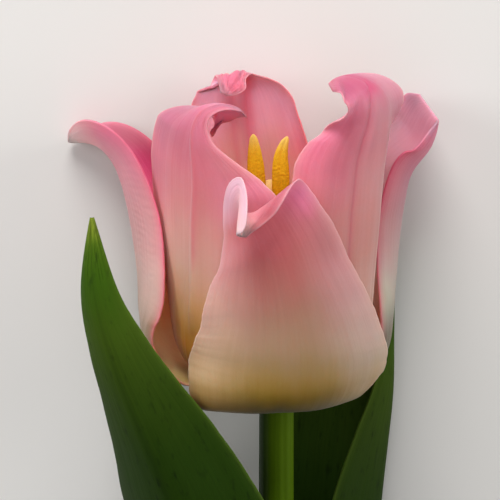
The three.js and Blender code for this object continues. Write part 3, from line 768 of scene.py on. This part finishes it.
outerLeftPetal = {
    "node": "tepal_outer_left",
    "slot": "pale_petal",
    "thickness": 0.8,
    "turn": -112,
    "rib": [(4.6, -1.2, 0), (9, -2.2, 0), (15, -2.8, 0), (20.5, -1.6, 0), (24.6, 2, 0), (26.4, 7, 0),
            (27, 14, 0), (27.9, 20, 0), (29.1, 25.6, -0.3), (30.5, 30, -0.8), (32.6, 33.8, -1.6),
            (36, 36.2, -2.8), (39.8, 36.6, -4), (43.2, 35.9, -5)],
    "left": [*outerFoot, (0.24, 16), (0.4, 17), (0.55, 16), (0.7, 13), (0.8, 9.6), (0.9, 6.2), (0.96, 3.4),
             (1, 0.5)],
    "right": [*outerFoot, (0.24, 16.5), (0.33, 18.6), (0.42, 18.4), (0.55, 15.8), (0.7, 12.5), (0.8, 10),
              (0.9, 7.4), (0.95, 4.6), (0.98, 2.2), (1, 0.5)],
    "fold": [(0, 0), (0.3, 10), (0.5, 30), (0.7, 45), (1, 50)],
    "foldLeft": [(0, 0), (0.3, 8), (0.5, 18), (0.7, 36), (1, 50)],
    "curl": [(0, 27), (0.06, 43), (0.14, 54), (0.24, 40), (0.4, 25), (1, 10)],
    "curlLeft": [(0, 27), (0.06, 43), (0.14, 54), (0.24, 40), (0.4, 20), (0.55, 2), (1, 0)],
    "seed": 27,
    "wrinkles": [
        {"at": (0.62, 0.6), "reach": (0.24, 0.35), "height": 0.035, "spacing": 1.1, "heading": 15},
    ],
    "look": {
        "outer": {
            "foot": [(0, "#6a6a2c")],
            "middle": [(0.3, "#7a6040"), (0.5, "#b89488"), (0.7, "#d09298"), (0.85, "#e09aa6"),
                       (0.94, "#ffd4d2"), (1, "#ffe4dc")],
            "left": [(0.3, "#7a6040"), (0.5, "#b89488"), (0.7, "#cc9098"), (0.85, "#e09aa6"),
                     (0.94, "#ffd4d2"), (1, "#ffe4dc")],
            "right": [(0.39, "#836a4b"), (0.46, "#bf9b8f"), (0.53, "#d3a7a0"), (0.6, "#d79999"),
                      (0.7, "#d89297"), (0.8, "#da8297"), (0.88, "#e6879f"), (0.95, "#ffd8d6"),
                      (1, "#ffe4dc")],
        },
        "inside": {
            "middle": [(0, "#c9b877"), (0.3, "#e5c892"), (0.42, "#e6b070"), (0.7, "#e87290"),
                       (0.9, "#c65c78"), (1, "#e8a0b0")],
            "left": [(0, "#c9b877"), (0.3, "#f0c8a0"), (0.7, "#dc5a7c"), (0.85, "#a43e5a"), (1, "#d8809a")],
            "right": [(0, "#a8a05c"), (0.3, "#c6a660"), (0.42, "#ca9a58"), (0.7, "#d06c86"),
                      (0.85, "#b04a66"), (1, "#e0a0b0")],
        },
        "edge": {"width": 0.9, "amount": 0.7,
                 "colours": [(0, "#c3a878"), (0.4, "#dc6f7c"), (0.8, "#dc5f80"), (1, "#f0b0b8")]},
    },
}
outerRightPetal = {
    "node": "tepal_outer_right",
    "slot": "pale_petal",
    "thickness": 0.8,
    "turn": 112,
    "rib": [(4.6, -1.2, 0), (9, -2.2, 0), (14, -2.8, 0), (18.2, -1.6, 0), (21, 2, 0), (22, 7, 0),
            (22.8, 13, 0), (23.6, 20, 0), (24.6, 27, 0), (25.7, 33, -0.6), (28.6, 38, -2.2),
            (29.6, 43.2, -4)],
    "left": [(0, 2.2), (0.06, 5.6), (0.14, 10.6), (0.24, 14), (0.4, 14), (0.55, 12), (0.75, 10.2),
             (0.85, 9.2), (0.93, 7.2), (0.97, 5), (1, 2)],
    "right": [*outerFoot, (0.24, 17.5), (0.4, 21.5), (0.55, 21.5), (0.75, 18), (0.85, 15.6), (0.93, 13.8),
              (0.97, 12.4), (1, 9)],
    "fold": [(0, 0), (0.3, 10), (0.42, 18), (0.55, 31), (0.7, 43), (0.85, 46), (1, 50)],
    "foldRight": [(0, 0), (0.3, 6), (0.5, 8), (0.7, 14), (0.88, 6), (1, 0)],
    "curl": [(0, 27), (0.06, 43), (0.14, 54), (0.24, 45), (0.4, 30), (1, 10)],
    "curlRight": [(0, 27), (0.06, 43), (0.14, 52), (0.24, 42), (0.36, 25), (0.55, 22), (0.7, 17),
                  (0.88, 5), (1, 0)],
    "rollRight": [(0, 0), (0.25, 0), (0.36, 50), (0.6, 46), (0.75, 10), (0.85, 0)],
    "seed": 35,
    "look": {
        "outer": {
            "foot": [(0, "#6a6a2c")],
            "middle": [(0.3, "#7a6a50"), (0.5, "#b09a90"), (0.8, "#c07a8c"), (1, "#e47e9b")],
            "left": [(0.36, "#655c45"), (0.46, "#b6b29e"), (0.54, "#c2a8a0"), (0.62, "#c49492"),
                     (0.7, "#c68589"), (0.85, "#d97a8c"), (1, "#db7995")],
        },
        "inside": {
            "foot": [(0, "#c9b877")],
            "middle": [(0.3, "#e0bca4"), (0.6, "#c6a29c"), (0.76, "#be868e"), (0.88, "#c47a8e"),
                       (1, "#b8788c")],
            "left": [(0.3, "#f0c8b0"), (0.6, "#ffccd0"), (0.8, "#d888a0"), (1, "#a86a80")],
            "right": [(0.3, "#d8b8a0"), (0.6, "#b8a09a"), (0.76, "#a88086"), (0.86, "#a87a86"),
                      (0.94, "#b8788e"), (1, "#8a566c")],
        },
        "edge": {"width": 0.9, "amount": 0.7,
                 "colours": [(0, "#c3a878"), (0.4, "#c8606c"), (0.9, "#cc5070"), (1, "#e0a0b4")]},
    },
}
innerBackPetal = {
    "node": "tepal_inner_back",
    "slot": "back_petal",
    "thickness": 0.5,
    "turn": 180,
    "rib": [*innerRibFoot, (17.6, 3, 0), (18.2, 9, 0.5), (18.2, 18, 1.4), (17.8, 27, 2.4), (17.4, 36, 3.8),
            (17, 43, 4.8), (16, 47.8, 5.4), (14, 50, 6.2), (12, 49.4, 8), (10.8, 47, 9.6)],
    "right": [*innerFoot, (0.28, 15.5), (0.5, 14), (0.7, 13), (0.79, 12), (0.84, 10.4), (0.88, 9.4),
              (0.915, 8.4), (0.94, 6.4), (0.97, 3), (1, 0.5)],
    "left": [*innerFoot, (0.28, 15), (0.45, 13), (0.6, 12.6), (0.72, 11.2), (0.78, 10), (0.826, 8.8),
             (0.86, 6.8), (0.885, 4.4), (0.91, 1.8), (0.93, 1.8), (0.955, 3), (0.985, 2), (1, 0.5)],
    "foldRight": [(0, 0), (0.8, 0), (0.88, 4), (0.94, 32), (1, 55)],
    "curl": [(0, 28), (0.15, 50), (0.28, 45), (0.5, 30), (1, 0)],
    "rollLeft": [(0, 0), (0.4, 0), (0.55, 90), (0.75, 90), (0.9, 0)],
    "seed": 43,
    "wrinkles": [
        {"at": (0.95, 0.1), "reach": (0.055, 0.8), "height": 0.2, "spacing": 1.5, "heading": 60},
    ],
    "pleats": [
        {"path": [(0.6, 0.12), (0.8, 0.06), (0.98, 0.02)], "width": (1.2, 1.2), "height": 0.5},
        {"path": [(0.4, 0.3), (0.7, 0.3), (0.85, 0.4)], "width": (1, 1), "height": 0.25},
    ],
    "look": {
        "outer": {
            "foot": [(0, "#8a8a50"), (0.2, "#d0b08c"), (0.45, "#d9a097"), (0.7, "#dc8a92")],
            "middle": [(0.95, "#d16e8a"), (1, "#f47f99")],
            "left": [(1, "#ff7b99")],
            "right": [(1, "#de7490")],
            "spots": [
                {"at": (0.97, -0.75), "reach": (0.03, 0.35), "colour": "#e04a74", "amount": 0.55},
                # a pale spot on the curled tip: partly its cream colour, partly a painted highlight
                {"at": (0.93, 0.4), "reach": (0.015, 0.22), "colour": "#ffd8b8", "amount": 0.6},
            ],
        },
        "inside": {
            "foot": [(0, "#c9b877"), (0.25, "#e8b898")],
            "middle": [(0.6, "#e6a88e"), (0.73, "#e6a2a8"), (0.82, "#eeaac0"), (0.9, "#fabcd4"),
                       (1, "#f0a0b4")],
            "left": [(0.65, "#f88a98"), (0.75, "#e79db4"), (0.84, "#e2b0c8"), (0.9, "#f8ccdf"),
                     (1, "#f0b8c8")],
            "right": [(0.65, "#fca4a8"), (0.75, "#f0a0b4"), (0.83, "#f0b2c8"), (0.9, "#f8b4d0"),
                      (1, "#f6b6c0")],
        },
        # darker lines along the two creases of the inside face, painted shade
        "stripes": [
            {"face": "inside", "path": [(0.5, 0.28), (0.76, 0.28), (0.9, 0.34)], "width": (0.8, 0.8),
             "colour": "#e0607c", "amount": 0.35},
            {"face": "inside", "path": [(0.6, 0.05), (0.82, 0.05), (1, 0)], "width": (1.1, 1.1),
             "colour": "#e8587c", "amount": 0.5},
        ],
        "edge": {"width": 1, "amount": 0.7,
                 "colours": [(0, "#c3a878"), (0.4, "#f08080"), (0.8, "#f07078"), (1, "#f4a8b0")]},
    },
}
petals = {
    "outerFrontPetal": outerFrontPetal, "innerLeftPetal": innerLeftPetal, "innerRightPetal": innerRightPetal,
    "outerLeftPetal": outerLeftPetal, "outerRightPetal": outerRightPetal, "innerBackPetal": innerBackPetal,
}
petalGrid = {"rows": 221, "columns": 121}
for name, petal in petals.items():
    makeBlade(name, petal, petalFinish(name + "Skin", petal["look"]), petalGrid, True)
    print("made", name)


# Leaves. Their midribs run through points in x, h and n.
leftLeaf = {
    "node": "leaf_left",
    "slot": "leaf",
    "thickness": 0.9,
    "turn": -27,
    "line": [(-2, -125, -3.4), (-3.6, -105, 1.6), (-7, -80, 7.4), (-11, -55, 12.8), (-15, -35, 16.6),
             (-19.2, -20, 18.6), (-24.2, -6, 19.6), (-28.6, 6, 19.6), (-31.8, 18, 18.2),
             (-32.4, 30.6, 15.2)],
    "left": [(0, 4.4), (0.12, 10), (0.3, 18.4), (0.5, 22), (0.63, 20.6), (0.73, 15.4), (0.81, 10.8),
             (0.89, 6.6), (0.95, 3), (0.985, 1.1), (1, 0.3)],
    "right": [(0, 4.4), (0.12, 10), (0.3, 15.5), (0.5, 17.5), (0.63, 16.2), (0.73, 12.6), (0.81, 8.8),
              (0.89, 5.2), (0.95, 2.8), (0.985, 1.1), (1, 0.3)],
    "fold": [(0, 0), (0.1, 0), (0.3, 14), (1, 20)],
    "curl": [(0, 56), (0.12, 45), (0.4, 25), (1, 30)],
    "seed": 51,
}
rightLeaf = {
    "node": "leaf_right",
    "slot": "leaf",
    "thickness": 0.9,
    "turn": 118,
    "line": [(3.9, -150, -12.7), (7, -125, -12.3), (11, -100, -12.8), (15, -75, -13.8), (18, -50, -14.8),
             (19.8, -30, -15.4), (21.4, -12, -15.8), (21.6, 0, -15.8), (21.5, 8, -15.6), (21, 16, -15.2)],
    "left": [(0, 4.4), (0.15, 10), (0.4, 16), (0.6, 19), (0.72, 18), (0.8, 13), (0.87, 7), (0.95, 3.5),
             (1, 0.5)],
    "right": [(0, 4.4), (0.15, 10), (0.4, 17), (0.6, 19.5), (0.8, 19.5), (0.86, 13), (0.91, 7), (0.96, 4),
              (1, 0.5)],
    "fold": [(0, 0), (0.08, 2), (0.3, 26), (0.6, 45), (1, 45)],
    "foldLeft": [(0, 0), (0.08, 2), (0.3, 34), (0.6, 60), (1, 55)],
    "curl": [(0, 56), (0.12, 44), (0.4, 15), (1, 10)],
    "seed": 59,
}
leafGrid = {"rows": 301, "columns": 71}
leafSkin = {
    # from foot to tip
    "colours": [(0, "#2a4604"), (0.3, "#233a04"), (0.72, "#233a04"), (0.86, "#394f0c"), (0.972, "#48640f"),
                (0.996, "#8ea030")],
    "unevenBorders": 0.08,  # between those colours
    "veinScale": (46, 4, 7),  # across, along and between the faces
    "streakScale": 0.25,
    "cloudScale": (0.12, 0.05, 1),
    "speckScale": (0.9, 0.28, 1),
    "midribSharpness": 500,
    "fleckFrom": 0.59,
    "fleckContrast": 6,
    "darkMidrib": 0.2,
    "darkFlecks": 0.6,
    "darkVeins": 0.3,
    "deep": 0.72,  # how dark all three together can grow
    "clouds": 0.3,
    "bloomColour": "#5a7a5c",  # of the waxy film
    "bloom": 0.03,
    "edgeColour": "#5c7428",
    "edge": 0.6,
    "edgeWidth": 0.35,  # mm
    "bump": 0.15,
    "bumpStrength": 0.5,
    "bumpVeins": 0.7,
    "bumpSpecks": 0.3,
    "roughness": 0.62,
    "roughnessSwing": 0.2,
    "gloss": 0.05,
    "glow": 0.08,
    "glowColour": (0.4, 1, 0.2),
    "glowDepth": 0.8,
}


def leafFinish(name, skin):
    finish, tree, shader = startFinish(name)
    flat = attribute(tree, "flat", "Vector")
    place = veinPlace(tree, skin["veinScale"])
    veins = noise(tree, place, 1, 2, 0.5)
    streaks = noise(tree, place, skin["streakScale"], 3, 0.6)
    clouds = noise(tree, stretched(tree, flat, skin["cloudScale"]), 1, 3)
    specks = noise(tree, stretched(tree, flat, skin["speckScale"]), 1, 2, 0.5)
    along = plus(tree, attribute(tree, "along"), centred(tree, streaks, skin["unevenBorders"]))
    colour = ramp(tree, along, skin["colours"])
    # a darker midrib, sunken veins, dark flecks
    aside = maths(tree, "POWER", maths(tree, "ABSOLUTE", attribute(tree, "across")), 2)
    midrib = maths(tree, "EXPONENT", times(tree, aside, -skin["midribSharpness"]))
    flecks = minus(tree, specks, skin["fleckFrom"], clamp=True)
    flecks = times(tree, flecks, skin["fleckContrast"], clamp=True)
    lines = times(tree, minus(tree, 0.5, veins, clamp=True), 2, clamp=True)
    dark = plus(tree, times(tree, midrib, skin["darkMidrib"]), times(tree, flecks, skin["darkFlecks"]))
    dark = plus(tree, dark, times(tree, lines, skin["darkVeins"]), clamp=True)
    value = minus(tree, 1, times(tree, dark, skin["deep"]))
    value = plus(tree, value, centred(tree, clouds, skin["clouds"]))
    colour = addNode(tree, "HueSaturation", {"Value": value, "Color": colour})
    colour = mixed(tree, times(tree, clouds, skin["bloom"]), colour, colourOf(skin["bloomColour"]))
    rim = near(tree, attribute(tree, "gap"), skin["edgeWidth"])
    colour = mixed(tree, times(tree, rim, skin["edge"]), colour, colourOf(skin["edgeColour"]))
    height = plus(tree, times(tree, veins, skin["bumpVeins"]), times(tree, specks, skin["bumpSpecks"]))
    rough = plus(tree, skin["roughness"], centred(tree, clouds, skin["roughnessSwing"]))
    joinSkin(tree, shader, skin, colour, height, rough)
    return finish


for name, leaf in (("leftLeaf", leftLeaf), ("rightLeaf", rightLeaf)):
    makeBlade(name, leaf, leafFinish(name + "Skin", leafSkin), leafGrid, False)
    print("made", name)


# Round pieces, each a skin through rings of points
roundSkin = {
    "paintedShadeSide": None,  # or a painted shade down one side: where it starts and is full across the piece, and its colour
    "bumpStrength": 0.6,
    "bumpStreaks": 0.5,
    "bumpGrain": 0.5,
    "roughnessSwing": 0.15,
    "gloss": 0.35,
    "glow": 0.1,
    "glowColour": (0.8, 0.8, 0.3),
    "glowDepth": 1,
}


def turns(sides):
    return np.arange(sides) / sides * 2 * math.pi


def ringAt(centre, along, angle, wide, deep):
    # a ring square to its way along, with its reach to the sides and from front to back
    sideways = unit(xAxis - along * (xAxis @ along))
    upward = np.cross(along, sideways)
    return centre + np.outer(wide * np.cos(angle), sideways) + np.outer(deep * np.sin(angle), upward)


def throughRings(rings, first, last):
    # a closed skin, with a middle point at either end
    sides = len(rings[0])
    points = np.vstack([*rings, [first], [last]])
    faces = []
    start = len(rings) * sides
    j = np.arange(sides)
    k = (j + 1) % sides
    for i in range(len(rings) - 1):
        a = i * sides
        faces += np.stack([a + j, a + k, a + sides + k, a + sides + j], 1).tolist()
    faces += np.stack([np.full(sides, start), k, j], 1).tolist()
    faces += np.stack([np.full(sides, start + 1), start - sides + j, start - sides + k], 1).tolist()
    return points, faces


def ringAttributes(rings, lengthwise, radius):
    # along runs from 0 to 1, and flat holds the same place in mm on a straight round bar
    sides = len(rings[0])
    along = np.repeat(np.asarray(lengthwise) / max(lengthwise), sides)
    run = np.repeat(lengthwise, sides)
    turn = np.tile(turns(sides), len(rings))
    flat = np.stack([np.cos(turn) * radius, run, np.sin(turn) * radius], 1)
    return {"along": np.concatenate([along, [0, 1]]),
            "flat": np.vstack([flat, [[0, lengthwise[0], 0]], [[0, lengthwise[-1], 0]]])}


def roundFinish(name, look):
    skin = {**roundSkin, **look}
    finish, tree, shader = startFinish(name)
    flat = attribute(tree, "flat", "Vector")
    streak = noise(tree, stretched(tree, flat, skin["streakScale"]), 1, 3, 0.6)
    grain = noise(tree, flat, skin["grainScale"], 2, 0.6)
    colour = ramp(tree, attribute(tree, "along"), skin["colours"])
    # painted shade: one side of the piece is darkened in its colour as if out of the light
    if skin["paintedShadeSide"]:
        start, end, shadeColour = skin["paintedShadeSide"]
        sideways = addNode(tree, "SeparateXYZ", {0: flat})
        colour = mixed(tree, softStep(tree, sideways, start, end), colour, colourOf(shadeColour))
    tone = plus(tree, centred(tree, streak, skin["streaks"]), centred(tree, grain, skin["grain"]))
    colour = addNode(tree, "HueSaturation", {"Value": plus(tree, 1, tone), "Color": colour})
    height = plus(tree, times(tree, streak, skin["bumpStreaks"]), times(tree, grain, skin["bumpGrain"]))
    rough = plus(tree, skin["roughness"], centred(tree, grain, skin["roughnessSwing"]))
    joinSkin(tree, shader, skin, colour, height, rough)
    return finish


# The stem, with the receptacle at its top
stem = {
    "length": 200,
    "drop": 18.6,  # of its cut end below the axis
    "straightFrom": -9,  # h above which its rings stand square to the axis
    "profile": [(-200, 3.35), (-150, 3.5), (-60, 3.3), (-9, 3.1), (-4, 3.3), (-2.4, 3.8), (-1.4, 4.25),
                (-0.6, 4.25), (0.1, 3.7), (0.9, 3.6), (1.3, 3.4), (1.5, 3.1)],  # h and radius
    "shaft": {"to": -12, "rings": 220},
    "receptacle": {"from": -11.5, "rings": 60},
    "sides": 96,
    "skinRadius": 3.3,  # of the straight bar that stands for it in its finish
    "seed": 5,
    "ridgeHeight": 0.035,
    "ridges": (11, 17),  # round the stem
    "secondRidges": 0.6,  # of the first ones' height
    "ridgeTwist": (0.3, 31),  # how far they wander round it, and how slowly along it
    "swell": (1.5, 23),  # how much it thickens, in ridge heights, and how slowly along it
    "cutRings": (0.3, 0.6, 0.85, 0.97),  # shares of the cut face's radius
    "look": {
        "colours": [(0, "#a9b877"), (0.004, "#5a7808"), (0.5, "#567406"), (0.97, "#567202"), (1, "#7a8a34")],
        # painted shade down the side of the stem that lies in shadow
        "paintedShadeSide": (-0.4, -3, "#1c3404"),
        "streakScale": (2.2, 0.05, 2.2), "grainScale": 1.6, "streaks": 0.3, "grain": 0.12,
        "bump": 0.06, "roughness": 0.6, "gloss": 0.12,
    },
}


def stemCentre(h):
    return np.array([0, h, -stem["drop"] * (h / stem["length"]) ** 2 if h < 0 else 0])


def ridgedRadius(h, angle, phase):
    first, second = stem["ridges"]
    twist, twistSize = stem["ridgeTwist"]
    swell, swellSize = stem["swell"]
    height = np.sin(first * angle + phase[0] + twist * math.sin(h / twistSize))
    height = height + stem["secondRidges"] * np.sin(second * angle + phase[1])
    height = height + swell * math.sin(h / swellSize + phase[2])
    return float(follow(stem["profile"], h)) + stem["ridgeHeight"] * height


def makeStem():
    phase = np.random.default_rng(stem["seed"]).random(3) * 6
    low = -stem["length"]
    shaft, receptacle = stem["shaft"], stem["receptacle"]
    heights = np.concatenate([np.linspace(low, shaft["to"], shaft["rings"]),
                              np.linspace(receptacle["from"], receptacleTop, receptacle["rings"])])
    angle = turns(stem["sides"])
    rings = []
    for h in heights:
        bent = h < stem["straightFrom"]
        along = unit(stemCentre(h + 0.5) - stemCentre(h - 0.5)) if bent else hAxis
        radius = ridgedRadius(h, angle, phase)
        rings.append(ringAt(stemCentre(h), along, angle, radius, radius))
    end = stemCentre(low)
    rings = [end + (rings[0] - end) * share for share in stem["cutRings"]] + rings
    for ring in rings:
        ring[:, 2] = np.maximum(ring[:, 2], -axisHeight)
    run = np.concatenate([np.zeros(len(stem["cutRings"])), heights - low])
    points, faces = throughRings(rings, end, stemCentre(receptacleTop))
    makePiece("flowerStem", points, faces, ringAttributes(rings, run, stem["skinRadius"]), "stem",
              roundFinish("stemSkin", stem["look"]))
    print("made stem")


makeStem()


# Stamens
stamens = {
    # where each one's anther ends, and how far its tip hooks over
    "tips": [((-4.3, 43, 4.4), 0), ((0.45, 42.6, 4.4), 1.2), ((8, 37.5, 1), 0.4),
             ((6.6, 38.5, -4.5), 0.3), ((-9, 35.5, -3.6), 0.4), ((-9.6, 35, 2.2), 0.3)],
    "ringRadius": 2.45,  # on which the filaments stand
    "firstTurn": -30,  # degrees round it
    "foot": 1.8,
    "filamentRadius": 0.6,
    "filamentTaper": 0.35,
    "filamentGrid": {"rings": 40, "sides": 24, "skinRadius": 0.5},
    "gap": 0.3,  # between filament and anther
    "antherLength": 12.5,
    "antherWidth": 3.3,
    "antherDepth": 2,
    "antherGrid": {"rings": 96, "sides": 64, "skinRadius": 1.2},
    "outline": [(0, 0.16), (0.02, 0.36), (0.08, 0.75), (0.2, 1), (0.45, 0.98), (0.7, 0.8), (0.88, 0.55),
                (0.96, 0.36), (1, 0.1)],
    "hookFrom": 0.6,  # share of the anther's length
    "grooves": ((0.3, 0.34), (0.1, 0.2)),  # depth and width, front and back, then at the sides
    "pollenHeight": 0.06,
    "pollen": (5, 60),  # how fine its grains are round and along
    "seed": 69,
    "filamentLook": {
        "colours": [(0, "#d9cf8c"), (0.6, "#e6dca8"), (1, "#e9d9a0")],
        "streakScale": (3, 0.3, 3), "grainScale": 3, "streaks": 0.15, "grain": 0.15, "bump": 0.03,
        "roughness": 0.45,
    },
    "antherLook": {
        "colours": [(0, "#e29e14"), (0.35, "#f2ba1c"), (0.8, "#ffcc38"), (1, "#ffd870")],
        "streakScale": (1.5, 0.5, 1.5), "grainScale": 5, "streaks": 0.35, "grain": 0.6, "bump": 0.12,
        "roughness": 0.85, "gloss": 0.15, "glow": 0.05,
    },
}


def bumps(angle, f, counts, seed):
    # fine grains round a ring at the share f of a piece's length, none at its ends
    start = 40  # any place in the noise would do
    grains = softNoise(angle * counts[0] + start, np.full(angle.shape, f * counts[1]), seed)
    return grains * math.sin(math.pi * f) ** 0.5


def makeFilament(index, foot, top, lean, finish):
    grid = stamens["filamentGrid"]
    angle = turns(grid["sides"])
    steps = np.linspace(0, 1, grid["rings"])
    rings = []
    for f in steps:
        radius = stamens["filamentRadius"] * (1 - stamens["filamentTaper"] * f)
        rings.append(ringAt(foot + (top - foot) * f, hAxis if f == 0 else lean, angle, radius, radius))
    points, faces = throughRings(rings, foot, top)
    attributes = ringAttributes(rings, steps * float(np.linalg.norm(top - foot)), grid["skinRadius"])
    makePiece(f"filament{index}", points, faces, attributes, f"filament_{index}", finish)


def makeAnther(index, seat, end, lean, hook, finish):
    grid = stamens["antherGrid"]
    angle = turns(grid["sides"])
    steps = np.linspace(0, 1, grid["rings"])
    # two pairs of pollen sacs with a groove between them
    (deep, broad), (sideDeep, sideBroad) = stamens["grooves"]
    groove = 1 - deep * np.exp(-(np.cos(angle) / broad) ** 2)
    groove = groove - sideDeep * np.exp(-(np.sin(angle) / sideBroad) ** 2)
    rings = []
    for f in steps:
        size = float(follow(stamens["outline"], f)) / 2 * groove
        grains = stamens["pollenHeight"] * bumps(angle, f, stamens["pollen"], index + stamens["seed"])
        hooked = hook * max(0, (f - stamens["hookFrom"]) / (1 - stamens["hookFrom"])) ** 2
        centre = seat + (end - seat) * f + xAxis * hooked
        rings.append(ringAt(centre, lean, angle, stamens["antherWidth"] * size + grains,
                            stamens["antherDepth"] * size + grains))
    points, faces = throughRings(rings, seat, end + xAxis * hook)
    attributes = ringAttributes(rings, steps * stamens["antherLength"], grid["skinRadius"])
    makePiece(f"anther{index}", points, faces, attributes, f"anther_{index}", finish)


def makeStamens():
    filamentSkin = roundFinish("filamentSkin", stamens["filamentLook"])
    antherSkin = roundFinish("antherSkin", stamens["antherLook"])
    radius = stamens["ringRadius"]
    apart = 360 / len(stamens["tips"])
    for index, (tip, hook) in enumerate(stamens["tips"]):
        turn = math.radians(stamens["firstTurn"] + apart * index)
        foot = np.array([radius * math.sin(turn), stamens["foot"], radius * math.cos(turn)])
        end = np.array(tip, float)
        lean = unit(end - foot)
        seat = end - lean * stamens["antherLength"]
        makeFilament(index + 1, foot, seat - lean * stamens["gap"], lean, filamentSkin)
        makeAnther(index + 1, seat, end, lean, hook, antherSkin)
    print("made stamens")


makeStamens()


# The ovary and the stigma on it
pistil = {
    "base": 1.8,
    "lean": 0.028,  # to the left, for each mm up
    "ovaryRadius": 1.5,
    "ovaryLength": 27,
    "ovaryLobes": 0.12,
    "ovaryGrid": {"rings": 80, "sides": 72, "skinRadius": 1.6},
    "gap": 0.3,  # between ovary and stigma
    "stigmaLength": 4.6,
    "stigmaRadius": 2.6,
    "stigmaLobes": 0.22,
    "stigmaGrid": {"rings": 80, "sides": 96, "skinRadius": 2},
    "stigmaSlits": (0.16, 0.22),  # depth and width
    "fuzzHeight": 0.05,
    "fuzz": (6, 30),  # how fine it is round and along
    "seed": 91,
    "ovaryShape": [(0, 0.8), (0.12, 1), (0.5, 1.05), (0.85, 0.92), (1, 0.8)],
    "stigmaShape": [(0, 0.45), (0.2, 0.7), (0.45, 0.95), (0.7, 0.9), (0.88, 0.62), (0.97, 0.3), (1, 0.1)],
    "ovaryLook": {
        "colours": [(0, "#b9bf6c"), (0.5, "#c3c47a"), (1, "#d3cd8c")],
        "streakScale": (1.5, 0.2, 1.5), "grainScale": 3, "streaks": 0.2, "grain": 0.15, "bump": 0.04,
        "roughness": 0.45,
    },
    "stigmaLook": {
        "colours": [(0, "#ccc070"), (0.5, "#e4b468"), (1, "#eec47a")],
        "streakScale": (2, 2, 2), "grainScale": 6, "streaks": 0.2, "grain": 0.35, "bump": 0.12,
        "roughness": 0.7,
    },
}


def pistilCentre(h):
    return np.array([-pistil["lean"] * (h - pistil["base"]), h, 0])


def ovaryRadius(angle, f):
    return pistil["ovaryRadius"] * float(follow(pistil["ovaryShape"], f)) * (
        1 + pistil["ovaryLobes"] * np.cos(3 * angle))


def stigmaRadius(angle, f):
    # three lobes, parted by slits
    depth, width = pistil["stigmaSlits"]
    lobes = 1 + pistil["stigmaLobes"] * np.cos(3 * angle)
    lobes = lobes - depth * np.exp(-(np.cos(1.5 * angle) / width) ** 2)
    fuzz = pistil["fuzzHeight"] * bumps(angle, f, pistil["fuzz"], pistil["seed"])
    return pistil["stigmaRadius"] * float(follow(pistil["stigmaShape"], f)) * lobes + fuzz


def makePistilPiece(name, node, base, radiusAt):
    grid = pistil[node + "Grid"]
    length = pistil[node + "Length"]
    angle = turns(grid["sides"])
    steps = np.linspace(0, 1, grid["rings"])
    rings = []
    for f in steps:
        radius = radiusAt(angle, f)
        rings.append(ringAt(pistilCentre(base + f * length), hAxis, angle, radius, radius))
    points, faces = throughRings(rings, pistilCentre(base), pistilCentre(base + length))
    makePiece(name, points, faces, ringAttributes(rings, steps * length, grid["skinRadius"]), node,
              roundFinish(node + "Skin", pistil[node + "Look"]))


def makePistil():
    makePistilPiece("seedOvary", "ovary", pistil["base"], ovaryRadius)
    seat = pistil["base"] + pistil["ovaryLength"] + pistil["gap"]
    makePistilPiece("pollenStigma", "stigma", seat, stigmaRadius)
    print("made pistil")


makePistil()
